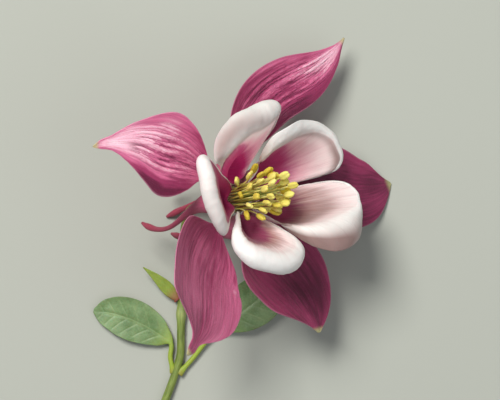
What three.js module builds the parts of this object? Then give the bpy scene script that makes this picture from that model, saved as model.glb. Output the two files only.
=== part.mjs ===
// A cut flowering stem of columbine that lies on a flat surface. The flower looks up and to the right.
// Millimetres, +Z up. +X is to the right and +Y is away from the cut end of the stem.
import * as THREE from 'three';

// Driving dimensions

const SURFACE_GAP = 0.3;        // between neighbouring pieces
const FLOWER_HEIGHT = 20.85;    // centre of the receptacle above the surface
const FLOWER_TILT = 40;         // degrees, flower axis from vertical towards +X
const FLOWER_TURN = 12;         // degrees, then about +Z

const RECEPTACLE_RADIUS = 3.15;
const RECEPTACLE_TOP = 1.1;
const RECEPTACLE_BACK = -2.2;

// Throat of a petal: the mouth of its spur, seen along the flower axis.
const THROAT_REACH = 6.3;
const THROAT_RADIUS = 2.6;
const THROAT_HEIGHT = 1.5;
const SPUR_RADIUS = 0.58;
const KNOB_RADIUS = 0.7;
const PETAL_THICKNESS = 0.45;

// Each petal's rim, where the lip begins to roll back: its reach from the flower's axis, its place to one
// side, its height, the width of the lip, its curl in degrees, and the twist in degrees of the direction in
// which it falls, at these turns round the throat. Turn 0 is the outermost place, and INNER_RIM is at turn 1.
const RIM_TURNS = [-0.85, -0.65, -0.45, -0.3, -0.15, 0, 0.15, 0.3, 0.45, 0.65, 0.85];
const INNER_RIM = { reach: 3.5, side: 0, height: 2, lip: 0.2, curl: 40, twist: 0 };

// The petals: place round the axis in degrees (at), flare and rise of the blade between throat and rim, the
// angles that its wall may fill towards its two neighbours (wedge), and the spur's length. splay is the
// spur's lean away from the flower axis and sway its lean to one side, both in degrees at the throat, half
// way and at the tip.
const PETALS = [
  { name: 'petal_upper_left', at: 98, flare: 0.06, rise: 0.64, wedge: [-32.4, 40.4],
    reach: [6.7, 10.5, 13.3, 15.2, 14.7, 14.1, 13.9, 12.7, 11, 9.2, 6.8],
    side: [-5.6, -6.6, -8, -8.9, -5.8, -2, 1.8, 5.3, 7.5, 6.6, 3.8],
    height: [4.4, 8.4, 11.4, 13.2, 14.3, 14.8, 14.9, 14.2, 12.3, 8.5, 4.4],
    lip: [0.2, 0.8, 2.4, 5.2, 6.6, 7, 7.1, 6.4, 3.8, 1, 0.3],
    curl: [40, 60, 110, 140, 150, 150, 150, 150, 140, 120, 60],
    twist: [3, 5, 11, 12, 9, 4, -1, -4, -7, -13, -3],
    spur: 23.5, splay: [10, 0, -30], sway: [0, 0, 0] },
  { name: 'petal_upper_right', at: 31, flare: 0.3, rise: 0.4, wedge: [-28.1, 31.8],
    reach: [10.1, 17.2, 20, 21.6, 21.9, 20.1, 15.5, 11.3, 8.5, 7, 6.6],
    side: [-5, -9, -9.4, -7.6, -4, 0.6, 3.7, 4.8, 5.3, 4.4, 2.2],
    height: [5.2, 8.2, 10.8, 12.3, 13.4, 13.8, 13.6, 12.6, 10.8, 8, 4.6],
    lip: [0.2, 0.6, 1, 1.4, 1.8, 2.2, 3.6, 4.8, 4.2, 1.8, 0.3],
    curl: [40, 50, 60, 75, 85, 85, 75, 65, 70, 80, 50],
    twist: [33, 42, 31, 29, 27, 30, 33, 21, 9, -7, -13],
    spur: 28.25, splay: [2.4, -12, -25], sway: [-2.2, -2.8, 0] },
  { name: 'petal_right', at: -35, flare: 0.15, rise: 0.5, wedge: [-25.6, 35.1],
    reach: [7, 8.6, 10.1, 12.6, 16, 19.2, 21.5, 21.1, 19, 14.8, 9.4],
    side: [-1.4, -3, -3.6, -2.4, 0.5, 4, 7, 9.5, 11, 10.2, 6.4],
    height: [5, 8.8, 12.6, 15, 16, 16.2, 15.8, 14.8, 13, 9.8, 5.6],
    lip: [0.3, 2.7, 7, 8.8, 8.2, 4.6, 1.4, 0.9, 0.8, 0.6, 0.2],
    curl: [60, 80, 90, 95, 95, 90, 80, 70, 60, 50, 40],
    twist: [93, 75, 43, 12, -5, -10, -12, -14, -21, -32, -23],
    spur: 24.3, splay: [12, 5, -12], sway: [0, -4, -8] },
  { name: 'petal_bottom', at: -108, flare: 0.1, rise: 0.66, wedge: [-42.6, 44.6],
    reach: [3.8, 6.6, 9.7, 11.7, 13, 13.6, 13.7, 12.7, 10.4, 7.2, 4.2],
    side: [-2.2, -4.9, -7, -6.9, -4.9, -1.9, 1.4, 5, 7.1, 6.1, 3.8],
    height: [4.6, 8.6, 12, 13.6, 14.5, 15, 15.2, 14.8, 13.4, 9.8, 4.8],
    lip: [0.3, 1, 2.6, 4.4, 5.6, 5.9, 6, 5.6, 4.2, 1.2, 0.2],
    curl: [90, 180, 170, 150, 140, 140, 135, 125, 110, 80, 50],
    twist: [3, 7, 6, 9, 7, 5, -2, -9, -16, -27, -13],
    spur: 22.8, splay: [9.4, -0.5, -23], sway: [1.6, -1.7, -8.6] },
  { name: 'petal_left', at: 175, flare: 0.05, rise: 0.58, wedge: [-33.8, 31.6],
    reach: [3.6, 9.1, 15, 16, 15.9, 15.8, 15.1, 13.9, 12.4, 8.3, 3.8],
    side: [-3, -5.1, -7.9, -7, -4.5, -1.9, 0.9, 3.7, 5.6, 4, 2.2],
    height: [4.4, 8, 12, 13.4, 13.9, 13.9, 13.6, 13, 11.6, 8, 4.4],
    lip: [0.3, 0.6, 3.4, 5, 5.4, 5.4, 5.4, 5.6, 4.2, 0.7, 0.3],
    curl: [50, 70, 170, 200, 200, 200, 200, 200, 170, 80, 50],
    twist: [3, 12, 33, 29, 15, 0, -9, -12, -15, -17, -3],
    spur: 25.3, splay: [19, -1, 13], sway: [1, 19, -38] },
];

// Each sepal: place round the axis, length and width, rise towards the flower axis at base, middle and tip,
// sideways bend at three tenths, six tenths and tip, roll about its own length, and lean of its broad part.
// widths are multiples of its width at 0.3, 0.5, 0.72, 0.88 and 0.96 of the length.
const SEPAL_THICKNESS = 0.5;
const CLAW_WIDTH = [0.06, 0.065];         // of full width, at the foot and at 0.13 of the length
const CLAW_FOOT = { reach: RECEPTACLE_RADIUS - 0.55, height: -0.6 };
const SEPALS = [
  { name: 'sepal_top', at: 64.5, length: 47, width: 14.5, rise: [4, 14, 20], bend: [-6, -50, -14],
    roll: -14, cup: [20, 25, 15], lean: -0.1, widths: [0.76, 0.94, 0.8, 0.36, 0.1] },
  { name: 'sepal_right', at: -2, length: 40, width: 21, rise: [11.5, 12.6, 8], bend: [3, -20, 22],
    roll: 11, cup: [20, 18, 10], lean: 0, widths: [0.79, 0.97, 0.8, 0.54, 0.2] },
  { name: 'sepal_lower_right', at: -71.5, length: 34, width: 21, rise: [10, 6, 6], bend: [11, 14, -24],
    roll: 2, cup: [20, 20, 15], lean: 0, widths: [0.9, 1.0, 0.82, 0.46, 0.16] },
  { name: 'sepal_lower_left', at: -140.8, length: 39, width: 21.5, rise: [10, 8, 12], bend: [2, 31.6, -11.6],
    roll: -17.3, cup: [20, 20, 15], lean: 0.05, widths: [0.98, 1.25, 1.11, 0.18, 0.1] },
  { name: 'sepal_left', at: 136.5, length: 46, width: 19, rise: [18, 14, 8], bend: [19, 25, 48],
    roll: -8, cup: [25, 25, 15], lean: 0.1, widths: [0.66, 1.0, 0.55, 0.17, 0.09] },
];

const STAMEN_COUNT = 36;
const GOLDEN_ANGLE = 137.508;                           // degrees between one stamen and the next
const STAMEN_START = 7;                                 // degrees, place of the innermost one
const STAMEN_RING = { inner: 1.8, outer: 2.85 };        // where they stand on the receptacle
const STAMEN_LENGTH = { inner: 17.2, outer: 8.5 };
const STAMEN_LEAN = { foot: 4, inner: 1, outer: 98 };   // degrees off the flower axis, at foot and tip
const STAMEN_UNEVEN = 0.5;                              // how much longer or shorter one may be
const STAMEN_NOD = 21;                                  // degrees that the anther nods outwards
const FILAMENT_RADIUS = 0.17;
const ANTHER = { length: 2.7, halfWidth: 0.86, halfThickness: 0.5 };

const CARPEL_COUNT = 5;
const CARPEL_REACH = 0.8;
const CARPEL_LENGTH = 15;
const CARPEL_RADIUS = 0.42;

const PEDICEL_RADIUS = 0.85;    // of the stem just behind the flower
const STEM_RADIUS = 0.9;
const STEM_REST = 1.05;         // height of the stem's middle where it lies on the surface
const NODE = { at: 0.245, length: 1.6, swelling: 0.2 };         // the swollen joint that bears the bract
const LEAF_THICKNESS = 0.5;
const STALK_RADIUS = 0.55;

// Leaves and bract: full width, share of the path that is stalk, width fractions of the blade, cup angle
// and the path's points, which are measured from the point on the surface below the receptacle.
const LEAVES = [
  { name: 'leaf_left', width: 9.6, stalk: 0.26, cup: 14, steps: 16,
    widths: [[0, 0.12], [0.12, 0.5], [0.35, 0.9], [0.55, 1], [0.8, 0.78], [0.93, 0.46], [1, 0.1]],
    path: [[-15.1, -38.8, 1.1], [-15.0, -35.8, 1.2], [-14.4, -32.8, 1.4], [-17, -30.8, 1.5],
      [-22.5, -27.8, 1.6], [-27, -26.2, 1.5], [-32.1, -25.4, 1.0]] },
  { name: 'leaf_right', width: 11, stalk: 0.4, cup: 12, steps: 16,
    widths: [[0, 0.12], [0.15, 0.5], [0.4, 0.92], [0.6, 1], [0.82, 0.78], [0.94, 0.42], [1, 0.1]],
    path: [[-11.0, -39.4, 1.0], [-8.6, -36.2, 1.1], [-6.4, -32.6, 1.3], [-2.4, -28.8, 1.7],
      [2.5, -25.2, 2.3], [7, -21.6, 2.6], [10.6, -17.2, 2.2]] },
  { name: 'bract', width: 2.9, stalk: 0.05, cup: 25, steps: 10,
    widths: [[0, 0.6], [0.2, 0.95], [0.35, 1], [0.6, 0.7], [0.85, 0.3], [1, 0.05]],
    path: [[-13.9, -22.4, 1.3], [-15.3, -20.2, 2.0], [-17.5, -17.9, 3.0], [-20.6, -15.4, 3.9]] },
];

// Helpers

const radians = THREE.MathUtils.degToRad;

// Smooth curve through [x, y] keys.
function through(x, keys) {
  const last = keys.length - 1;
  const slope = (i) => {
    if (i === 0) return (keys[1][1] - keys[0][1]) / (keys[1][0] - keys[0][0]);
    if (i === last) return (keys[last][1] - keys[last - 1][1]) / (keys[last][0] - keys[last - 1][0]);
    const before = keys[i][0] - keys[i - 1][0];
    const after = keys[i + 1][0] - keys[i][0];
    const rise = before * before * keys[i + 1][1] + (after * after - before * before) * keys[i][1];
    return (rise - after * after * keys[i - 1][1]) / (before * after * (before + after));
  };
  let i = 0;
  while (i < last - 1 && x > keys[i + 1][0]) i += 1;
  const h = keys[i + 1][0] - keys[i][0];
  const t = THREE.MathUtils.clamp((x - keys[i][0]) / h, 0, 1);
  return (1 + 2 * t) * (1 - t) ** 2 * keys[i][1] + t * (1 - t) ** 2 * h * slope(i)
    + t * t * (3 - 2 * t) * keys[i + 1][1] + t * t * (t - 1) * h * slope(i + 1);
}

// Closed body through rings of points, with a point at each end.
function closedSkin(startPoint, rings, endPoint) {
  const around = rings[0].length;
  const points = [startPoint, ...rings.flat(), endPoint];
  const end = points.length - 1;
  const at = (ring, k) => 1 + ring * around + (k % around);
  const faces = [];
  for (let k = 0; k < around; k += 1) {
    faces.push(0, at(0, k + 1), at(0, k));
    for (let ring = 0; ring + 1 < rings.length; ring += 1) {
      faces.push(at(ring, k), at(ring, k + 1), at(ring + 1, k + 1));
      faces.push(at(ring, k), at(ring + 1, k + 1), at(ring + 1, k));
    }
    faces.push(at(rings.length - 1, k), at(rings.length - 1, k + 1), end);
  }
  const geometry = new THREE.BufferGeometry().setFromPoints(points);
  geometry.setIndex(faces);
  geometry.computeVertexNormals();
  return geometry;
}

function material(colour, roughness = 0.6) {
  return new THREE.MeshStandardMaterial({ color: colour, roughness, metalness: 0 });
}

function piece(name, geometry, look) {
  const mesh = new THREE.Mesh(geometry, look);
  mesh.name = name;
  return mesh;
}

// Round stalk along a curve, with a radius for each fraction of its length.
function stalkSkin(curve, radiusAt, steps, sides) {
  const frames = curve.computeFrenetFrames(steps, false);
  const rings = [];
  for (let i = 0; i <= steps; i += 1) {
    const centre = curve.getPointAt(i / steps);
    const radius = radiusAt(i / steps);
    const ring = [];
    for (let k = 0; k < sides; k += 1) {
      const turn = (2 * Math.PI * k) / sides;
      ring.push(centre.clone()
        .addScaledVector(frames.normals[i], radius * Math.cos(turn))
        .addScaledVector(frames.binormals[i], radius * Math.sin(turn)));
    }
    rings.push(ring);
  }
  return closedSkin(curve.getPointAt(0), rings, curve.getPointAt(1));
}

// Thin blade: at each step a closed section of given half width and half thickness round a centre, with
// its margins bent up through the cup angle. The section's centre may lie beside the path.
function bladeSection(centre, side, up, halfWidth, halfThickness, cup, columns) {
  const ring = [];
  const bend = Math.max(cup, 0.01);
  const radius = halfWidth / bend;
  const face = (x, sign) => {
    const edge = Math.sqrt(Math.max(0, 1 - x * x));
    return centre.clone()
      .addScaledVector(side, radius * Math.sin(bend * x))
      .addScaledVector(up, radius * (1 - Math.cos(bend * x)))
      .addScaledVector(up, sign * halfThickness * (0.35 + 0.65 * edge));
  };
  for (let k = 0; k <= columns; k += 1) ring.push(face(-1 + (2 * k) / columns, -1));
  for (let k = columns; k >= 0; k -= 1) ring.push(face(-1 + (2 * k) / columns, 1));
  return ring;
}

// Flower

function receptacle() {
  const outline = [
    [0, RECEPTACLE_BACK], [1.2, RECEPTACLE_BACK], [1.7, -1.6], [2.1, -0.8], [RECEPTACLE_RADIUS - 0.9, -0.2],
    [RECEPTACLE_RADIUS - 0.4, 0.2], [RECEPTACLE_RADIUS, 0.7], [RECEPTACLE_RADIUS - 0.1, RECEPTACLE_TOP],
    [0, RECEPTACLE_TOP + 0.1],
  ];
  const geometry = new THREE.LatheGeometry(outline.map(([r, z]) => new THREE.Vector2(r, z)), 14);
  geometry.rotateX(Math.PI / 2);
  return geometry;
}

// A measure of a petal's rim, joined smoothly all the way round.
function roundRim(petal, measure, turn) {
  const values = petal[measure];
  const inner = INNER_RIM[measure];
  const keys = RIM_TURNS.map((at, i) => [at, values[i]]);
  keys.unshift([-1.15, values[values.length - 1]], [-1, inner]);
  keys.push([1, inner], [1.15, values[0]]);
  return through(THREE.MathUtils.euclideanModulo(turn + 1, 2) - 1, keys);
}

// Keeps a point of a petal's wall between the planes that part it from its neighbours.
function keepInWedge(point, petal) {
  const angle = Math.atan2(point.y, point.x);
  const limit = radians(Math.abs(petal.wedge[angle < 0 ? 0 : 1]));
  const kept = angle / (1 + (Math.abs(angle) / limit) ** 20) ** (1 / 20);
  const distance = Math.hypot(point.x, point.y);
  return point.set(distance * Math.cos(kept), distance * Math.sin(kept), point.z);
}

// The place round the throat below a place on the rim. Most of the throat feeds the outer blade.
function throatAngle(turn) {
  const shares = [[0, 0], [0.3, 0.2], [0.45, 0.31], [0.65, 0.48], [0.85, 0.73], [1, 1]];
  return Math.PI * Math.sign(turn) * through(Math.abs(turn), shares);
}

// One column of a petal's back surface from the edge of its lip over the rim and down to the throat. turn
// runs from -1 to 1 round the throat.
function petalColumn(petal, turn, bladeRows, lipRows) {
  const place = ['reach', 'side', 'height'].map((measure) => roundRim(petal, measure, turn));
  const rim = new THREE.Vector3(...place);
  keepInWedge(rim, petal);
  const angle = throatAngle(turn);
  const across = new THREE.Vector3(Math.cos(angle), Math.sin(angle), 0);
  const throat = new THREE.Vector3(THROAT_REACH, 0, THROAT_HEIGHT).addScaledVector(across, THROAT_RADIUS);
  const reach = rim.distanceTo(throat);
  const climb = THREE.MathUtils.clamp((rim.z - THROAT_HEIGHT) / reach, 0.3, 1);
  const control = throat.clone().addScaledVector(across, petal.flare * reach * Math.max(0, across.x));
  control.z += petal.rise * reach * climb;
  const points = [];
  for (let i = 0; i <= bladeRows; i += 1) {
    const v = i / bladeRows;
    points.push(keepInWedge(throat.clone().multiplyScalar((1 - v) ** 2)
      .addScaledVector(control, 2 * v * (1 - v)).addScaledVector(rim, v * v), petal));
  }
  const ahead = rim.clone().sub(control).normalize();
  const way = radians(180 * turn + roundRim(petal, 'twist', turn));
  const outward = new THREE.Vector3(Math.cos(way), Math.sin(way), 0);
  outward.addScaledVector(ahead, -outward.dot(ahead)).normalize();
  const curl = radians(roundRim(petal, 'curl', turn));
  const radius = roundRim(petal, 'lip', turn) / curl;
  for (let i = 1; i <= lipRows; i += 1) {
    const bend = (curl * i) / lipRows;
    points.push(rim.clone().addScaledVector(ahead, radius * Math.sin(bend))
      .addScaledVector(outward, radius * (1 - Math.cos(bend))));
  }
  return points.reverse();
}

// Centre and radius of a petal's spur at a fraction of its length behind the throat.
function spurPath(petal) {
  const steps = 24;
  const points = [new THREE.Vector3(THROAT_REACH, 0, THROAT_HEIGHT)];
  for (let i = 0; i < steps; i += 1) {
    const q = (i + 0.5) / steps;
    const out = radians(through(q, [[0, petal.splay[0]], [0.5, petal.splay[1]], [1, petal.splay[2]]]));
    const side = radians(through(q, [[0, petal.sway[0]], [0.5, petal.sway[1]], [1, petal.sway[2]]]));
    const level = Math.cos(side);
    const step = new THREE.Vector3(Math.sin(out) * level, Math.sin(side), -Math.cos(out) * level);
    points.push(points[i].clone().addScaledVector(step, petal.spur / steps));
  }
  return new THREE.CatmullRomCurve3(points);
}

// The funnel narrows quickly to a thin spur with a small knob at its tip.
function spurRadius(q) {
  return through(q, [[0, THROAT_RADIUS], [0.08, THROAT_RADIUS * 0.88], [0.2, THROAT_RADIUS * 0.55],
    [0.34, THROAT_RADIUS * 0.33], [0.55, SPUR_RADIUS], [0.8, SPUR_RADIUS], [0.93, KNOB_RADIUS], [1, 0.3]]);
}

function petalBody(petal) {
  const columns = 24;
  const bladeRows = 6;
  const lipRows = 4;
  const spurRows = 7;
  const turnOf = (k) => 1 - (2 * k) / columns;
  const grid = [];
  for (let k = 0; k < columns; k += 1) grid.push(petalColumn(petal, turnOf(k), bladeRows, lipRows));
  const path = spurPath(petal);
  for (let i = 1; i <= spurRows; i += 1) {
    const q = i / spurRows;
    const centre = path.getPointAt(q);
    const ahead = path.getTangentAt(q);
    const out = new THREE.Vector3(1, 0, 0).addScaledVector(ahead, -ahead.x).normalize();
    const side = out.clone().cross(ahead);
    for (let k = 0; k < columns; k += 1) {
      const angle = throatAngle(turnOf(k));
      grid[k].push(centre.clone().addScaledVector(out, spurRadius(q) * Math.cos(angle))
        .addScaledVector(side, spurRadius(q) * Math.sin(angle)));
    }
  }
  // The inner surface lies one thickness inside the outer one and closes part way down the spur.
  const hollowRows = lipRows + bladeRows + 2;
  const outer = (i, k) => grid[(k + columns) % columns][i];
  const rows = grid[0].length;
  const rings = [];
  for (let i = hollowRows - 1; i >= 0; i -= 1) {
    rings.push(grid.map((_, k) => {
      const along = outer(Math.min(i + 1, rows - 1), k).clone().sub(outer(Math.max(i - 1, 0), k));
      const around = outer(i, k + 1).clone().sub(outer(i, k - 1));
      const inward = along.cross(around).normalize();
      return outer(i, k).clone().addScaledVector(inward, PETAL_THICKNESS);
    }));
  }
  const bottom = rings[0].reduce((sum, point) => sum.add(point), new THREE.Vector3()).divideScalar(columns);
  for (let i = 0; i < rows; i += 1) rings.push(grid.map((_, k) => outer(i, k).clone()));
  return closedSkin(bottom, rings, path.getPointAt(1));
}

function sepalBody(sepal) {
  const steps = 14;
  const fine = 120;
  const columns = 6;
  const risen = (s) => radians(through(s, [[0, sepal.rise[0]], [0.5, sepal.rise[1]], [1, sepal.rise[2]]]));
  const bent = (s) => radians(through(s, [[0, 0], [0.12, 0], [0.3, sepal.bend[0]], [0.6, sepal.bend[1]],
    [1, sepal.bend[2]]]));
  const direction = (s) => new THREE.Vector3(Math.cos(risen(s)) * Math.cos(bent(s)),
    Math.cos(risen(s)) * Math.sin(bent(s)), Math.sin(risen(s)));
  const [thirty, fifty, seventy, ninety, nearTip] = sepal.widths;
  const widthKeys = [[0, CLAW_WIDTH[0]], [0.13, CLAW_WIDTH[1]], [0.3, thirty], [0.5, fifty],
    [0.72, seventy], [0.88, ninety], [0.96, nearTip], [1, 0.02]];
  const centre = new THREE.Vector3(CLAW_FOOT.reach, 0, CLAW_FOOT.height);
  const rings = [];
  const spine = [centre.clone()];
  for (let i = 0; i < fine; i += 1) {
    centre.addScaledVector(direction((i + 0.5) / fine), sepal.length / fine);
    spine.push(centre.clone());
  }
  for (let i = 0; i <= steps; i += 1) {
    const s = i / steps;
    const ahead = direction(s);
    const flat = new THREE.Vector3(-Math.sin(bent(s)), Math.cos(bent(s)), 0);
    const normal = ahead.clone().cross(flat);
    const roll = radians(through(s, [[0, 0], [0.5, sepal.roll], [1, sepal.roll]]));
    const side = flat.clone().multiplyScalar(Math.cos(roll)).addScaledVector(normal, Math.sin(roll));
    const up = normal.multiplyScalar(Math.cos(roll)).addScaledVector(flat, -Math.sin(roll));
    const half = (sepal.width / 2) * through(s, widthKeys);
    const cup = radians(through(s, [[0, sepal.cup[0]], [0.5, sepal.cup[1]], [1, sepal.cup[2]]]));
    const shift = sepal.lean * 8 * (s * (1 - s)) ** 2 * half;
    const middle = spine[Math.round(s * fine)].clone().addScaledVector(side, shift);
    const thick = (SEPAL_THICKNESS / 2) * Math.min(1, 0.4 + half / 2);
    rings.push(bladeSection(middle, side, up, half, thick, cup, columns));
  }
  const tip = spine[fine].clone().addScaledVector(direction(1), 0.3);
  return closedSkin(spine[0], rings, tip);
}

// Middle line of a stamen, in the plane of its own radius. The outer ones are short and arch outwards.
function stamenCurve(index) {
  const steps = 12;
  const share = index / (STAMEN_COUNT - 1);
  const { inner, outer } = STAMEN_RING;
  const foot = Math.sqrt(inner ** 2 + share * (outer ** 2 - inner ** 2));
  const uneven = STAMEN_UNEVEN * Math.sin(index * 2.2);
  const length = THREE.MathUtils.lerp(STAMEN_LENGTH.inner, STAMEN_LENGTH.outer, share) + uneven;
  const tipLean = THREE.MathUtils.lerp(STAMEN_LEAN.inner, STAMEN_LEAN.outer, share ** 2.6);
  const points = [new THREE.Vector3(foot, 0, RECEPTACLE_TOP + SURFACE_GAP + 0.05)];
  for (let i = 0; i < steps; i += 1) {
    const s = (i + 0.5) / steps;
    const nod = STAMEN_NOD * THREE.MathUtils.smoothstep(s, 0.68, 0.96);
    const lean = radians(THREE.MathUtils.lerp(STAMEN_LEAN.foot, tipLean, s * s) + nod);
    const step = new THREE.Vector3(Math.sin(lean), 0, Math.cos(lean));
    points.push(points[i].clone().addScaledVector(step, length / steps));
  }
  return new THREE.CatmullRomCurve3(points);
}

// Filament with its flattened anther.
function stamenBody(index) {
  const sides = 6;
  const curve = stamenCurve(index);
  const neck = 1 - ANTHER.length / curve.getLength();
  const filament = [0, 0.35, 0.7, 1].map((s) => ({
    s: s * neck, wide: FILAMENT_RADIUS, thick: FILAMENT_RADIUS,
  }));
  const anther = [[0.15, 0.7], [0.4, 1], [0.7, 0.95], [0.92, 0.55]].map(([s, size]) => ({
    s: neck + s * (1 - neck), wide: size * ANTHER.halfWidth, thick: size * ANTHER.halfThickness,
  }));
  const across = new THREE.Vector3(0, 1, 0);
  const rings = [...filament, ...anther].map(({ s, wide, thick }) => {
    const centre = curve.getPointAt(s);
    const out = across.clone().cross(curve.getTangentAt(s));
    return Array.from({ length: sides }, (_, k) => {
      const turn = (2 * Math.PI * k) / sides;
      return centre.clone().addScaledVector(out, thick * Math.cos(turn))
        .addScaledVector(across, wide * Math.sin(turn));
    });
  });
  return closedSkin(curve.getPointAt(0), rings, curve.getPointAt(1));
}

function carpelBody() {
  const floor = RECEPTACLE_TOP + SURFACE_GAP + 0.05;
  const curve = new THREE.CatmullRomCurve3([
    new THREE.Vector3(CARPEL_REACH, 0, floor),
    new THREE.Vector3(CARPEL_REACH + 0.05, 0, floor + CARPEL_LENGTH * 0.3),
    new THREE.Vector3(CARPEL_REACH - 0.05, 0, floor + CARPEL_LENGTH * 0.7),
    new THREE.Vector3(CARPEL_REACH + 0.2, 0, floor + CARPEL_LENGTH),
  ]);
  const shape = [[0, 0.8], [0.2, 1], [0.45, 0.8], [0.6, 0.4], [1, 0.3]];
  const radiusAt = (s) => CARPEL_RADIUS * through(s, shape);
  return stalkSkin(curve, radiusAt, 7, 6);
}

function buildFlower() {
  const flower = new THREE.Group();
  flower.position.z = FLOWER_HEIGHT;
  flower.rotation.set(0, radians(FLOWER_TILT), radians(FLOWER_TURN), 'ZYX');
  const add = (mesh, at) => {
    mesh.rotation.z = radians(at);
    flower.add(mesh);
  };
  add(piece('receptacle', receptacle(), material(0x8b8440)), 0);
  for (const sepal of SEPALS) add(piece(sepal.name, sepalBody(sepal), material(0xb45a80)), sepal.at);
  for (const petal of PETALS) add(piece(petal.name, petalBody(petal), material(0xefe2df)), petal.at);
  for (let i = 0; i < STAMEN_COUNT; i += 1) {
    const name = `stamen_${String(i + 1).padStart(2, '0')}`;
    add(piece(name, stamenBody(i), material(0xcfc24a)), STAMEN_START + i * GOLDEN_ANGLE);
  }
  for (let i = 0; i < CARPEL_COUNT; i += 1) {
    add(piece(`carpel_${i + 1}`, carpelBody(), material(0xb9bf58)), (360 / CARPEL_COUNT) * i);
  }
  return flower;
}

// Stem and leaves. Their places are measured from the point on the surface below the receptacle.

function flowerAxis() {
  const tilt = radians(FLOWER_TILT);
  const turn = radians(FLOWER_TURN);
  const flat = new THREE.Vector3(Math.cos(turn), Math.sin(turn), 0);
  return flat.multiplyScalar(Math.sin(tilt)).setZ(Math.cos(tilt));
}

function stemBody() {
  const heart = new THREE.Vector3(0, 0, FLOWER_HEIGHT);
  const behind = (distance) => heart.clone().addScaledVector(flowerAxis(), -distance);
  const top = -RECEPTACLE_BACK + SURFACE_GAP;
  const lying = [
    [-11.7, -20.5], [-12.0, -25.6], [-12.1, -31], [-12.2, -35.5], [-13.2, -39.2], [-14.5, -43], [-16, -47],
    [-19, -60], [-20.5, -80], [-19, -102], [-15, -125], [-10, -148],
  ].map(([x, y]) => new THREE.Vector3(x, y, STEM_REST));
  const curve = new THREE.CatmullRomCurve3([
    behind(top), behind(6), behind(11), behind(15.5),
    new THREE.Vector3(-11.0, -5.5, 6), new THREE.Vector3(-11.4, -10.5, 2.6),
    new THREE.Vector3(-11.4, -15.5, 1.2), ...lying,
  ]);
  const total = curve.getLength();
  const radiusAt = (s) => {
    const fromNode = ((s - NODE.at) * total) / NODE.length;
    const swelling = NODE.swelling * Math.exp(-fromNode * fromNode);
    const stouter = THREE.MathUtils.smoothstep(s, 0, 0.2);
    return THREE.MathUtils.lerp(PEDICEL_RADIUS, STEM_RADIUS, stouter) + swelling;
  };
  return stalkSkin(curve, radiusAt, 56, 8);
}

// Leaf or bract: a stalk that widens into a blade along a path of [x, y, z] points.
function leafBody({ path, width, stalk, widths, cup, steps }) {
  const curve = new THREE.CatmullRomCurve3(path.map((point) => new THREE.Vector3(...point)));
  const rings = [];
  for (let i = 0; i <= steps; i += 1) {
    const s = i / steps;
    const ahead = curve.getTangentAt(s);
    const side = new THREE.Vector3(0, 0, 1).cross(ahead).normalize();
    const up = ahead.clone().cross(side);
    const blade = s > stalk ? (width / 2) * through((s - stalk) / (1 - stalk), widths) : 0;
    const half = Math.max(blade, STALK_RADIUS * (s > stalk ? 1 - (s - stalk) / (1 - stalk) : 1), 0.15);
    const thin = THREE.MathUtils.smoothstep(s, stalk * 0.9, stalk + 0.25);
    const thick = THREE.MathUtils.lerp(STALK_RADIUS, LEAF_THICKNESS / 2, thin);
    rings.push(bladeSection(curve.getPointAt(s), side, up, half, thick, radians(cup) * thin, 6));
  }
  const tip = curve.getPointAt(1).addScaledVector(curve.getTangentAt(1), 0.2);
  return closedSkin(curve.getPointAt(0), rings, tip);
}

const plant = new THREE.Group();
plant.add(buildFlower());
plant.add(piece('stem', stemBody(), material(0x74833a)));
for (const leaf of LEAVES) plant.add(piece(leaf.name, leafBody(leaf), material(0x7c9462)));

// The origin is the bottom centre of the whole: centred in X and Y, with the lowest point at height 0.
const box = new THREE.Box3().setFromObject(plant, true);
const middle = box.getCenter(new THREE.Vector3());
plant.position.set(-middle.x, -middle.y, -box.min.z);

export default plant;
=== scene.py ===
# A cut flowering stem of columbine, lying on a flat surface. The construction is loaded as the frame,
# and each section below gives one kind of piece its grown surface and its finish.
import math

import bpy
import numpy as np
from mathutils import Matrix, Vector, noise


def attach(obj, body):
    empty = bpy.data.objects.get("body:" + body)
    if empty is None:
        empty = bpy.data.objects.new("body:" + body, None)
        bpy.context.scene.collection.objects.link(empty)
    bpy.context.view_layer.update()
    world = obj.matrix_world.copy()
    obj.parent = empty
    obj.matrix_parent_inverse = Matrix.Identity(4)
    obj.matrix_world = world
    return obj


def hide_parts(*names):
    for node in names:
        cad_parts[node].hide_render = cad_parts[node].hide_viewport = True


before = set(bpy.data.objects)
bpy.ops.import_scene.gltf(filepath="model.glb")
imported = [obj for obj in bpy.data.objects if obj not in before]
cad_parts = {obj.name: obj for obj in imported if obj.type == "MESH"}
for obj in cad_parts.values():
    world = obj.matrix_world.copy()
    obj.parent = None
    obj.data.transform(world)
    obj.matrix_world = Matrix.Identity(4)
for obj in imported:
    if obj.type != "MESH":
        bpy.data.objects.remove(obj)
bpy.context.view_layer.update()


# The receptacle: the firm green end of the stem, on which every other part of the flower stands in its
# own ring. It is a solid knob, five-sided where the sepals and petals leave it.

RECEPTACLE_OUTLINE = [
    (0.5, -2.2), (1.0, -2.18), (1.3, -2.0), (1.6, -1.6), (2.0, -0.9), (2.4, -0.3), (2.75, 0.15), (3.0, 0.6),
    (3.05, 0.85), (2.9, 1.05), (2.4, 1.12), (1.6, 1.15), (0.8, 1.18),
]
RECEPTACLE_TOP = 1.2  # of the middle of its upper face
FLOWER_TILT = math.radians(40)  # flower axis from vertical towards +X
FLOWER_TURN = math.radians(12)  # then about +Z

UPRIGHT = np.array([0.0, 0.0, 1.0])
LEVEL = np.array([math.cos(FLOWER_TURN), math.sin(FLOWER_TURN), 0])
AXIS = math.sin(FLOWER_TILT) * LEVEL + math.cos(FLOWER_TILT) * UPRIGHT
OUTWARD = math.cos(FLOWER_TILT) * LEVEL - math.sin(FLOWER_TILT) * UPRIGHT
SIDEWAYS = np.cross(AXIS, OUTWARD)

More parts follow.
